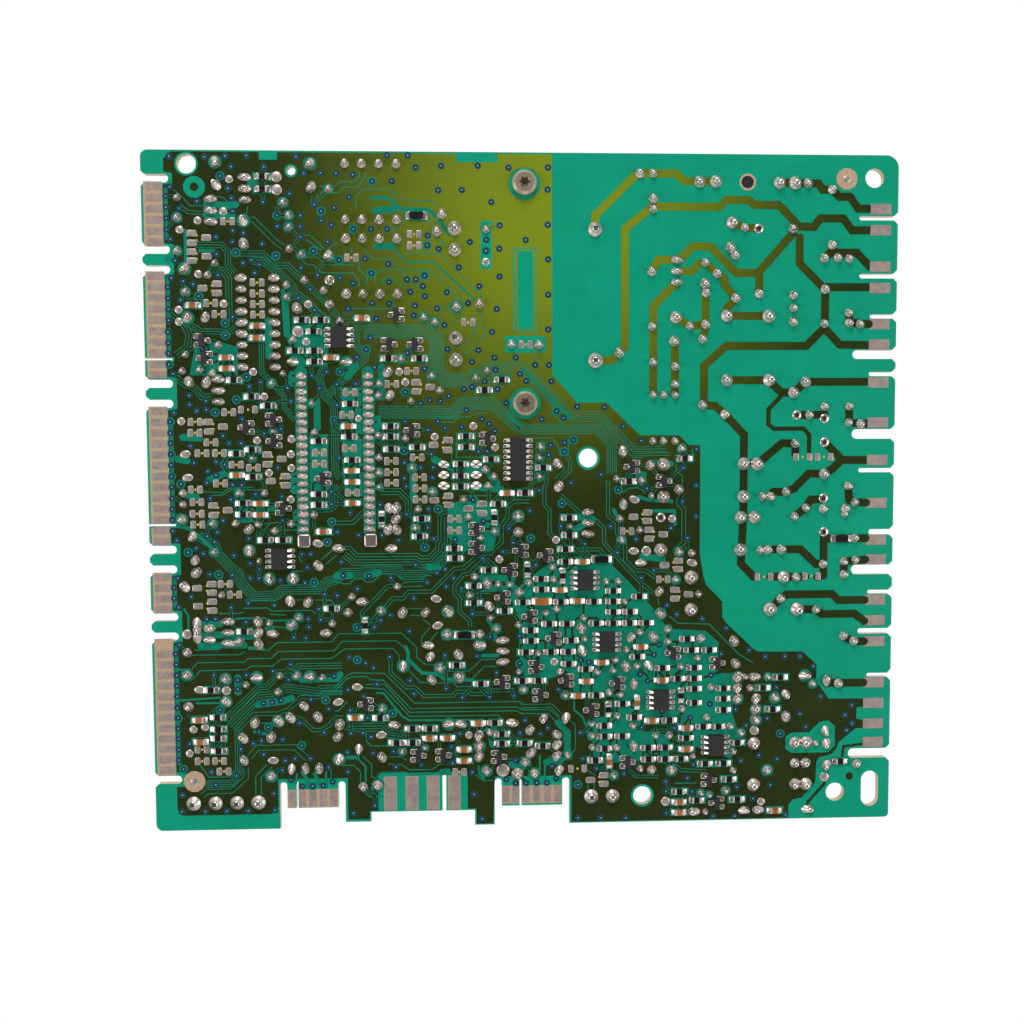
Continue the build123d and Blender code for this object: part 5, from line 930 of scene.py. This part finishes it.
# both rows stand in a green strip, with a short track at most pins
for x in PIN_ROWS:
    strip(gaps, [(x, 107.2), (x, 70.6)], 3.1, SUNK, COPPER_TOP + TEAL_LIFT + next_step())
    for i in range(PINS_IN_ROW):
        y = FIRST_PIN - PIN_PITCH * i
        if random.random() < 0.7:
            side = random.choice((-1.9, 1.9))
            strip(short, [(x, y), (x + side, y)], 0.44, SUNK, COPPER_TOP + TRACK_LIFT + next_step())
LONGEST = 6.0
SHORTEST = 1.6
# the mains side begins to the right of this place, and has no short tracks
SIGNAL_SIDE = 128
for x, y in pads_at * 3 + places:
    near = sorted((math.hypot(u - x, v - y), u, v) for u, v in targets
                  if abs(u - x) < LONGEST and abs(v - y) < LONGEST)
    near = [(u, v) for far, u, v in near if SHORTEST < far < LONGEST]
    if not near or x > SIGNAL_SIDE or random.random() < 0.06:
        continue
    u, v = near[min(len(near) - 1, random.choice((0, 0, 1, 2, 3)))]
    ends_at = tuple(sorted(((round(x, 1), round(y, 1)), (round(u, 1), round(v, 1)))))
    if ends_at in tracks_made:
        continue
    tracks_made.add(ends_at)
    diagonal = min(abs(u - x), abs(v - y))
    bend = (x + math.copysign(diagonal, u - x), y + math.copysign(diagonal, v - y))
    route = [(x, y), bend, (u, v)]
    # a bend that falls on its neighbour is dropped
    route = [a for a, b in zip(route, route[1:] + [(1e9, 1e9)]) if math.dist(a, b) > 0.1]
    if len(route) > 1:
        step = next_step()
        strip(gaps, route, 0.8, SUNK, COPPER_TOP + TEAL_LIFT + step)
        strip(short, route, 0.5, SUNK, COPPER_TOP + TRACK_LIFT + step)
RIM = 1.3


def clearance(x, y, across):
    """A round window in the pour at one of 29 heights, left out where it would pass the board's edge."""
    global levels
    levels += 1
    if RIM < x < SIZE[0] - RIM and RIM < y < SIZE[1] - RIM:
        stamp(gaps, DISC, x, y, SUNK, (across, across, 0.0207 + 0.00011 * (levels % 29)))


for across, group in ROUND_JOINTS.items():
    for x, y in group:
        if random.random() < 0.45:
            clearance(x, y, across + 0.75)
for x, y in LEANING_JOINTS + LEVEL_JOINTS + UPRIGHT_JOINTS:
    if random.random() < 0.2:
        clearance(x, y, 3.2)
for x, y in VIAS:
    if random.random() < 0.12:
        clearance(x, y, 2.15)
piece("laminate_in_gaps", gaps, TEAL)
piece("short_tracks", short, OLIVE)
print("short tracks", len(tracks_made))

# %% [markdown]
# A via is a plated hole that joins the two copper sides. The mask dips into it and leaves a dark ring with
# a paler plug. Each is three stacked discs.
# %% Vias
rings = bmesh.new()
wells = bmesh.new()
centres = bmesh.new()
for x, y in VIAS:
    stamp(rings, DISC, x, y, 0.0, (1.55, 1.55, COPPER_TOP + 0.03), turn=random.uniform(0, 30))
    stamp(wells, DISC, x, y, COPPER_TOP, (0.95, 0.95, 0.036), turn=random.uniform(0, 30))
    stamp(centres, DISC, x, y, COPPER_TOP, (0.42, 0.42, 0.042), turn=random.uniform(0, 30))
piece("via_rings", rings, VIA_RING)
piece("via_wells", wells, VIA_WELL)
piece("via_plugs", centres, VIA_CENTRE)

# %% [markdown]
# Bare laminate shows beige between the plated edge contacts, where the mask stops.
# %% Bare zones under the contacts
TARGETS = ((162.7, 152.0), (9.1, 11.7))
bare = bmesh.new()
for centre, length in ((143.1, 14.6), (120.4, 19.6), (108.05, 4.0), (85.9, 27.1), (69.55, 4.0), (56.3, 9.6),
                       (29.45, 32.4)):
    stamp(bare, SQUARE, 2.7, centre, 0.0, (4.3, length, 0.02))
for centre, length in ((31.65, 2.0), (38.0, 9.0), (83.4, 4.2), (90.9, 9.4)):
    stamp(bare, SQUARE, centre, 7.15, 0.0, (length, 4.3, 0.02))
for x in (54.9, 60.0, 65.0, 70.0):
    stamp(bare, SQUARE, x, 7.95, 0.0, (3.0, 8.2, 0.02))
for x, y in TARGETS:
    stamp(bare, DISC, x, y, 0.0, (5.1, 5.1, COPPER_TOP + 0.02))
# a bare ring round the small hole on the mains side
RING_AT = (139.3, 151.15)
angles = [k * math.tau / 20 for k in range(20)]
around = [(RING_AT[0] + 1.95 * math.cos(a), RING_AT[1] + 1.95 * math.sin(a)) for a in angles]
area(bare, around, 0.0, 0.0205, ((*RING_AT, 1.45),))
piece("bare_laminate", bare, LAMINATE)

# %% [markdown]
# Surface mounted parts sit in fillets of solder. A chip's fillet is a small slope from its end to the
# pad's outer edge; it is modelled once as a cube whose outer top edge is pulled down, and then bevelled.
# %% Fillets
def wedge():
    """A slope of unit length, width and height that falls towards +x."""
    bm = bmesh.new()
    bmesh.ops.create_cube(bm, size=1.0, matrix=Matrix.Translation((0, 0, 0.5)))
    outer = [v for v in bm.verts if v.co.x > 0 and v.co.z > 0.5]
    bmesh.ops.translate(bm, verts=outer, vec=(0, 0, -0.72))
    top = [e for e in bm.edges if min(v.co.z for v in e.verts) > 0.2]
    soften(bm, top, 0.16)
    return template(bm)


WEDGE = wedge()
fillets = bmesh.new()
ends = bmesh.new()
chips = 0
for name, tall in (("chip_resistors", 0.5), ("chip_capacitors", 0.9)):
    for x, y, w, d in islands(name):
        level = w > d
        length, width = max(w, d), min(w, d)
        band = 0.17 * length
        chips += 1
        for side in (-1, 1):
            turn = (0 if side > 0 else 180) if level else (90 if side > 0 else -90)
            heading = Vector((math.cos(math.radians(turn)), math.sin(math.radians(turn))))
            out = length / 2 + 0.38
            slope = (1.0, width * random.uniform(1.0, 1.15), tall * random.uniform(0.8, 0.95))
            stamp(fillets, WEDGE, x + heading.x * out, y + heading.y * out, 0.01, slope, turn)
            out = length / 2 - band / 2 + 0.02
            cap = (band, width + 0.04, tall + 0.03)
            stamp(ends, SQUARE, x + heading.x * out, y + heading.y * out, 0.0, cap, turn)
piece("chip_ends", ends, CHIP_END)
for x, y, w, d in islands("transistor_chip_leads"):
    stamp(fillets, PILLOW, x, y, 0.0, (1.95, 1.3, 0.3))
for x, y, w, d in islands("small_ic_leads"):
    stamp(fillets, PILLOW, x, y, 0.0, (1.95, 0.85, 0.28))
print("chips", chips)
piece("solder_fillets", fillets, SOLDER, smooth=True)

# %% [markdown]
# Places for parts that this version leaves out still have tinned pads, with a dot of yellow chip glue
# between.
# %% Empty footprints
EMPTY_PAIRS = (
    (19.4, 141.5), (15.2, 123.0), (17.0, 120.5), (25.8, 127.7), (25.8, 125.2), (25.8, 122.8), (25.8, 120.4),
    (61.8, 138.8), (61.8, 136.2), (47.4, 133.4), (74.1, 118.7), (18.8, 98.1), (23.2, 98.7), (11.1, 95.9),
    (11.0, 93.4), (14.6, 91.2), (12.5, 88.7), (16.5, 88.7), (20.3, 86.0), (24.2, 85.3), (16.6, 81.7),
    (10.8, 80.3), (39.4, 88.7), (39.4, 86.1), (60.9, 107.5), (56.3, 104.5), (46.7, 102.6), (45.8, 97.4),
    (46.3, 89.7), (62.0, 87.5), (56.0, 86.7), (56.0, 84.1), (56.0, 81.6), (62.5, 82.9), (62.6, 80.3),
    (62.6, 77.7), (87.4, 113.6), (11.1, 77.4), (11.1, 74.7), (11.2, 72.2), (17.2, 58.3), (19.3, 55.8),
    (46.9, 79.4), (70.6, 73.1), (70.6, 70.4), (111.2, 69.9), (119.8, 58.4), (11.0, 19.3), (11.0, 16.5),
    (15.0, 16.5), (16.0, 14.0), (71.3, 12.9), (99.4, 13.2), (153.0, 87.2), (158.1, 87.2), (144.0, 58.8),
    (155.4, 58.8),
)
WIDE_PAIRS = ((23.2, 98.7), (99.4, 13.2), (153.0, 87.2), (158.1, 87.2), (144.0, 58.8), (155.4, 58.8))
EMPTY_THREE_LEAD = (
    ((11.2, 138.8), (11.2, 136.6), (14.5, 137.8)), ((11.1, 134.6), (11.1, 132.6), (14.5, 133.6)),
    ((13.4, 126.4), (16.7, 127.4), (16.7, 125.3)), ((14, 95.9), (14.2, 93.7), (17.4, 94.8)),
    ((27.4, 88.3), (27.4, 86.1), (30.7, 87.3)), ((28.1, 82.2), (31.5, 83.3), (31.5, 81.2)),
    ((61.9, 104.9), (61.9, 102.8), (65.2, 103.8)), ((65.8, 90.4), (69.2, 91.5), (69.1, 89.2)),
    ((14.8, 76.6), (14.8, 74.4), (18.1, 75.5)), ((10.7, 57.4), (14.1, 58.3), (14.1, 56.3)),
    ((10.8, 53.2), (14.1, 54.2), (14.1, 52.1)), ((65.9, 77.5), (69.2, 78.5), (69.2, 76.4)),
    ((73.8, 75.5), (77.1, 76.6), (77.1, 74.4)), ((112.7, 73.3), (116, 74.3), (116, 72.3)),
    ((116.4, 70.2), (116.4, 68.1), (119.8, 69.1)), ((120.1, 61.8), (123.4, 62.8), (123.4, 60.8)),
    ((122.6, 55.9), (122.6, 53.8), (125.9, 54.8)), ((102.5, 10.4), (105.7, 11.5), (105.7, 9.4)),
)
pads = bmesh.new()
glue = bmesh.new()
for x, y in EMPTY_PAIRS:
    reach = 1.6 if (x, y) in WIDE_PAIRS else 1.05
    for side in (-1, 1):
        stamp(pads, PILLOW, x + side * reach, y, 0.0, (1.25, 1.8, 0.2))
    stamp(glue, DOME, x, y, COPPER_TOP, (0.3, 0.32, 0.12))
for group in EMPTY_THREE_LEAD:
    for x, y in group:
        stamp(pads, PILLOW, x, y, 0.0, (2.2, 1.45, 0.2))
    middle = sum(x for x, y in group) / 3
    for side in (-1, 1):
        stamp(glue, DOME, middle, sum(y for x, y in group) / 3 + side * 0.6, COPPER_TOP, (0.3, 0.3, 0.12))
FLAT_PADS = (
    (78.3, 132.6, 1.9), (19.9, 151, 1.9), (30.6, 151.6, 2.5), (30.6, 148.7, 2.5), (8.5, 139.6, 1.9),
    (18.4, 143.8, 1.9), (12.6, 141.7, 1.9), (12.5, 129.6, 1.9), (18.1, 122.9, 1.9), (7.9, 121.5, 1.9),
    (7.9, 118.8, 1.9), (37.3, 122.8, 1.9), (42.1, 122.8, 1.9), (24.5, 107.4, 1.9), (26.9, 101.7, 1.9),
    (33, 91.9, 1.9), (25.1, 91.6, 1.9), (32.8, 88.4, 1.9), (32.9, 85.2, 1.9), (27.7, 84.1, 1.9),
    (7.9, 96.1, 1.9), (36.7, 114.3, 1.9), (34.9, 116.6, 2.6), (58, 107.4, 1.9), (59.4, 105, 1.9),
    (48.5, 96.6, 1.6), (66.1, 92.3, 1.9), (75.1, 94.8, 1.9), (80.2, 89.8, 1.9), (32.6, 77.9, 1.9),
    (8.1, 46.6, 2.3), (81, 63.5, 1.9), (94.4, 68, 1.9), (121.9, 72.8, 1.9), (115.8, 65.2, 2.4),
    (9.1, 24.1, 1.9), (11.8, 24.6, 1.9), (8.1, 18.4, 1.9), (16.9, 33.2, 2.2), (73.6, 21.7, 1.9),
    (81.6, 13.1, 3.2), (93.9, 39, 1.9), (120.6, 4.8, 2.3), (142, 21.7, 2.3), (143.8, 4.3, 2),
    (159.2, 10.1, 2.3),
)
LEVEL_PADS = (
    (8.7, 88.5), (9.1, 83.1), (38.7, 67.6), (66.4, 48), (66.1, 54.3), (112.9, 77.4), (112.8, 65.2),
    (126.7, 62.3), (10.7, 33.5), (27.5, 16.4), (42.9, 30.1), (47.4, 33.6), (52.9, 22.1),
)
for x, y, across in FLAT_PADS:
    stamp(pads, DOME, x, y, 0.0, (across / 2, across / 2, 0.24))
for x, y in LEVEL_PADS:
    stamp(pads, DOME, x, y, 0.0, (1.3, 0.9, 0.24), turn=random.uniform(-20, 20))
piece("tinned_pads", pads, FLAT_TIN, smooth=True)
piece("glue_dots", glue, GLUE, smooth=True)

# %% [markdown]
# Wave soldering leaves a cone of tin round each lead, hollow in its flank and bright, with the cut lead at
# its tip. Leads that were bent over before soldering make an oval cone that leans. One template is turned
# from a profile, and each copy gets its own size, turn and lean, so that no two look the same.
# %% Solder joints
def joint(bm, x, y, across, tall=None, lean=0.0, turn=None, stretch=1.0):
    """One solder cone of that width in mm, with a little chance in its form."""
    turn = random.uniform(0, 360) if turn is None else turn + random.uniform(-8, 8)
    tall = (0.75 + 0.28 * across if tall is None else tall) * random.uniform(0.9, 1.08)
    wide = across / 2 * random.uniform(0.95, 1.07)
    stamp(bm, JOINT, x, y, 0.0, (wide * stretch, wide, min(tall, 1.7)), turn, lean)


joints = bmesh.new()
for across, places in ROUND_JOINTS.items():
    for x, y in places:
        joint(joints, x, y, across, lean=random.uniform(-0.1, 0.1))
for x, y in LEANING_JOINTS:
    lean = random.uniform(0.2, 0.5)
    joint(joints, x, y, 2.3, lean=lean, turn=random.choice((50, 70, 110, 130, 240, 300)), stretch=1.25)
for x, y in LEVEL_JOINTS:
    joint(joints, x, y, 2.1, lean=0.35, turn=random.choice((0, 180)), stretch=1.5)
for x, y in UPRIGHT_JOINTS:
    joint(joints, x, y, 2.1, lean=0.35, turn=random.choice((90, 270)), stretch=1.4)
for x, y, across in MAINS_JOINTS:
    joint(joints, x, y, across, lean=random.uniform(0.0, 0.3))
for x in (8.8, 13.9, 18.9, 23.9, 102.7, 107.8):
    joint(joints, x, 6.4, 3.6, tall=1.35)
for x, y in ((103.6, 140.1), (103.7, 109.9)):
    joint(joints, x, y, 3.6, tall=1.5)
for x, y in ((71.1, 140.2), (71.1, 135.3), (71.2, 115.1), (71.2, 110.1)):
    joint(joints, x, y, 3.3, tall=1.5)
# rows of the dual in line packages and of the two pulse transformers
for x in PIN_ROWS:
    for i in range(PINS_IN_ROW):
        joint(joints, x, FIRST_PIN - PIN_PITCH * i, 1.74, tall=0.95, turn=0, stretch=1.52)
    # a square pad past the last pin draws off the surplus solder
    stamp(joints, PILLOW, x + 0.2, 68.25, 0.0, (2.9, 3.0, 0.75))
for x in (22.1, 29.6):
    for i in range(9):
        joint(joints, x, 128.8 - 2.54 * i, 1.9, tall=1.0, turn=0, stretch=1.5)
for y in (85.9, 83.4, 80.9):
    for x in (68.15, 75.7):
        joint(joints, x, y, 1.9, tall=0.5, turn=0, stretch=1.4)
for y in (101.9, 91.1):
    for x in (117.3, 119.8, 122.5):
        joint(joints, x, y, 2.0)
for middle in (148.4, 131.5):
    for side in (-6.3, 6.3):
        for x in (46.1, 49.9, 53.8, 57.8):
            joint(joints, x, middle + side, 2.4, lean=0.15, turn=90)
# three-lead parts whose pads are drawn wide to the sides
for x, y in ((23.4, 148.9), (15.6, 144.0), (122.8, 130.6), (16.5, 103.1), (101.9, 71.9), (17.6, 46.9),
             (81.7, 41.7)):
    for step in (-2.54, 0, 2.54):
        joint(joints, x, y + step, 1.9, turn=0, stretch=1.7)
piece("solder_joints", joints, SOLDER, smooth=True)

# %% [markdown]
# Where a part is missing its hole stays open: a tinned ring, with a black disc in its mouth as painted
# shadow of the hole.
# %% Open holes
EMPTY_HOLES = (
    (119.2, 73.1), (142, 140.5), (151.5, 97.1), (158.1, 96.3), (158.2, 90.7), (158.1, 77.4), (158.3, 69.4),
    (42.3, 128.3),
)
# painted shadow: a black disc stands for the shade inside each open hole
HOLE_SHADOW_PAINT = finish("open_hole_shadow", "#1B1A18", "#0B0B0A", 0.4, 0.8)
mouths = bmesh.new()
collars = bmesh.new()
for x, y in EMPTY_HOLES:
    stamp(collars, DOME, x, y, 0.0, (1.15, 1.15, 0.3))
    stamp(mouths, DISC, x, y, 0.2, (0.95, 0.95, 0.12))
piece("open_hole_collars", collars, SOLDER, smooth=True)
piece("painted_open_hole_shadows", mouths, HOLE_SHADOW_PAINT)

# %% [markdown]
# The remaining marks are small: two aiming targets with a bright dot, and rings round test points.
# %% Targets and rings
dots = bmesh.new()
for x, y in TARGETS:
    stamp(dots, DOME, x, y, 0.0, (0.95, 0.95, 0.16))
piece("target_dots", dots, FLAT_TIN, smooth=True)
TEST_POINT = (12.0, 149.2)
ring = bmesh.new()
stamp(ring, DISC, *TEST_POINT, COPPER_TOP, (5.0, 5.0, 0.012))
piece("test_ring", ring, MASK)
inner = bmesh.new()
stamp(inner, DISC, *TEST_POINT, COPPER_TOP, (2.0, 2.0, 0.02))
stamp(inner, DISC, 165.3, 10.2, 0.0, (1.9, 1.9, 0.03))
piece("test_ring_centre", inner, OLIVE)

# %% [markdown]
# The CAD nodes keep their shapes and get finishes that say what each is made of. The housings, cans and
# windings on the hidden side get finishes too.
# %% Finishes of the CAD nodes
HOUSING = finish("glass_filled_nylon", "#1C1C1E", "#101012", 0.5, 0.5, relief=0.02)
RESIN = finish("potting_resin", "#1A1B1F", "#0E0F12", 6.0, 0.25, relief=0.05)
STEEL = finish("laminated_core_steel", "#8F8E8A", "#5E5D5A", 0.6, 0.42, relief=0.02, metal=1.0)
COIL = finish("enamelled_copper_wire", "#B4652E", "#7A3D18", 0.3, 0.32, relief=0.03, metal=0.8)
FERRITE = finish("sintered_ferrite", "#3B3A3C", "#272628", 0.4, 0.6, relief=0.01)
RELAY = finish("relay_cover_polyester", "#23262B", "#16181C", 0.4, 0.38, relief=0.01)
BASE = finish("relay_base_phenolic", "#1E1C1A", "#131110", 0.3, 0.6, relief=0.02)
YELLOW_BOX = finish("film_capacitor_case", "#D9B64A", "#C29C34", 1.0, 0.36, relief=0.01)
RED_BOX = finish("small_film_case", "#A43A26", "#842B1B", 0.6, 0.38, relief=0.01)
BLUE_DIP = finish("dipped_varistor_epoxy", "#2C5FA8", "#1E4480", 1.5, 0.3, relief=0.04)
SLEEVE = finish("can_sleeve_film", "#1E2638", "#141A28", 0.8, 0.3, relief=0.005)
RUBBER = finish("butyl_seal", "#1A1A1A", "#0F0F0F", 0.4, 0.75, relief=0.01)
LACQUER = finish("resistor_lacquer", "#7FA6B8", "#5E8799", 0.5, 0.4, relief=0.02)
BLOCK = finish("terminal_polyamide", "#2E7D4A", "#1F6237", 0.5, 0.45, relief=0.01)
CERAMIC = finish("capacitor_ceramic", "#B4713A", "#7F4620", 2.6, 0.42, relief=0.01)
GLASS = finish("fuse_glass", "#F2F6F5", "#E4ECEA", 1.0, 0.06, spread=0.02)
GLASS.node_tree.nodes["Principled BSDF"].inputs["Transmission Weight"].default_value = 0.95
NODE_FINISHES = {
    BOARD: ("circuit_board",), CONTACT: ("signal_contacts", "mains_contacts"),
    NICKEL: ("transformer_screws", "terminal_screws"),
    HOUSING: ("transformer_housing", "fuse_holder_base"), RESIN: ("transformer_potting",),
    STEEL: ("transformer_core", "relay_cores", "relay_armatures"),
    BASE: ("transformer_bobbin", "pulse_transformer_bobbins", "relay_bases"),
    COIL: ("transformer_primary_winding", "transformer_secondary_winding", "pulse_transformer_windings",
           "relay_coils"),
    FERRITE: ("pulse_transformer_cores",), RELAY: ("relay_covers",), YELLOW_BOX: ("suppression_capacitors",),
    RED_BOX: ("film_capacitors",), BLUE_DIP: ("varistor_discs",), SLEEVE: ("capacitor_cans",),
    RUBBER: ("capacitor_seals",), LACQUER: ("axial_resistors",), BLOCK: ("terminal_housings",),
    CERAMIC: ("chip_capacitors",), GLASS: ("fuse_glass",), GLAZED: ("chip_resistors",),
    MOULDED: ("microcontroller_body", "driver_body", "optocoupler_bodies", "transistor_bodies",
              "regulator_bodies", "small_ic_bodies", "transistor_chips"),
}
chosen = {name: made for made, names in NODE_FINISHES.items() for name in names}
for name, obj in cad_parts.items():
    made = chosen.get(name, TINNED)
    obj.data.materials.clear()
    obj.data.materials.append(made)
tinned = [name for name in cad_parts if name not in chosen]
print("finished nodes", len(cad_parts), "tinned by default", tinned)

# %% [markdown]
# The floor is a plain pale sheet that shows white to the camera. The room is dark overhead and bright at
# the horizon, and the soft lamps stand at an angle. A flat lacquered board then mirrors the dark ceiling
# and keeps its full colour, while the solder cones mirror the bright sides.
# %% Floor, lamps and camera
def white_to_camera(name, colour):
    """A pale matte finish that a camera or mirror ray sees as plain white."""
    material, tree, surface, place = begin(name, Roughness=0.9)
    surface.inputs["Base Color"].default_value = linear(colour)
    path = add(tree, "ShaderNodeLightPath")
    seen = path.outputs["Is Camera Ray"]
    for ray in ("Is Glossy Ray", "Is Transmission Ray"):
        seen = add(tree, "ShaderNodeMath", {0: seen, 1: path.outputs[ray]}, operation="MAXIMUM").outputs[0]
    glow = add(tree, "ShaderNodeEmission", {"Strength": 1.0})
    mixed = add(tree, "ShaderNodeMixShader", {0: seen, 1: surface.outputs[0], 2: glow.outputs[0]})
    tree.links.new(mixed.outputs[0], tree.nodes["Material Output"].inputs["Surface"])
    return material


floor_bm = bmesh.new()
under = Matrix.Translation((0, 0, cad_box[0][2] - 0.0002))
bmesh.ops.create_grid(floor_bm, x_segments=1, y_segments=1, size=3.0, matrix=under)
floor_mesh = bpy.data.meshes.new("floor")
floor_bm.to_mesh(floor_mesh)
floor_bm.free()
floor_mesh.materials.append(white_to_camera("pale_floor", "#E8E8E8"))
floor = bpy.data.objects.new("floor", floor_mesh)
bpy.context.scene.collection.objects.link(floor)


def lamp(name, place, power, size, aim=(0, 0, 0.04)):
    """A square soft lamp that faces a point."""
    data = bpy.data.lights.new(name, "AREA")
    data.energy = power
    data.size = size
    obj = bpy.data.objects.new(name, data)
    obj.location = place
    obj.rotation_euler = (Vector(aim) - Vector(place)).to_track_quat("-Z", "Y").to_euler()
    bpy.context.scene.collection.objects.link(obj)
    return obj


lamp("key", (-0.1, 0.85, 0.62), 7.0, 0.5)
lamp("left_fill", (-0.85, -0.15, 0.6), 3.8, 0.5)
lamp("right_fill", (0.85, -0.1, 0.6), 3.6, 0.5)
lamp("front_fill", (0.1, -0.85, 0.6), 1.5, 0.5)
world = bpy.data.worlds.new("studio")
world.use_nodes = True
world_tree = world.node_tree
world_tree.nodes.clear()
path = add(world_tree, "ShaderNodeLightPath")
generated = add(world_tree, "ShaderNodeTexCoord").outputs["Generated"]
toward = add(world_tree, "ShaderNodeSeparateXYZ", {"Vector": generated})
fade = {"Value": toward.outputs["Z"], "From Min": 0.15, "From Max": 0.8, "To Min": 0.8, "To Max": 0.05}
strength = add(world_tree, "ShaderNodeMapRange", fade, interpolation_type="SMOOTHSTEP")
lit = add(world_tree, "ShaderNodeBackground", {"Color": (1, 1, 1, 1), "Strength": strength.outputs[0]})
plain = add(world_tree, "ShaderNodeBackground", {"Color": (1, 1, 1, 1), "Strength": 1.0})
shown = {0: path.outputs["Is Camera Ray"], 1: lit.outputs[0], 2: plain.outputs[0]}
both = add(world_tree, "ShaderNodeMixShader", shown)
add(world_tree, "ShaderNodeOutputWorld", {"Surface": both.outputs[0]})
bpy.context.scene.world = world

camera_data = bpy.data.cameras.new("camera")
camera_data.sensor_width = 36.0
camera_data.lens = 35.16
camera_data.clip_start = 0.01
camera = bpy.data.objects.new("camera", camera_data)
tilt = -Vector((3.21, 2.39, 0.33)) * math.pi / 180
camera.rotation_mode = "QUATERNION"
camera.rotation_quaternion = Quaternion(tilt.normalized(), tilt.length)
camera.location = spot(74.3, 87.8, 234.1)
bpy.context.scene.collection.objects.link(camera)
bpy.context.scene.camera = camera
bpy.context.scene.view_settings.view_transform = "Standard"
print("camera at", [round(c, 4) for c in camera.location])

# %% [markdown]
# Last, the scene is brought up to date.
# %% Last update
bpy.context.view_layer.update()
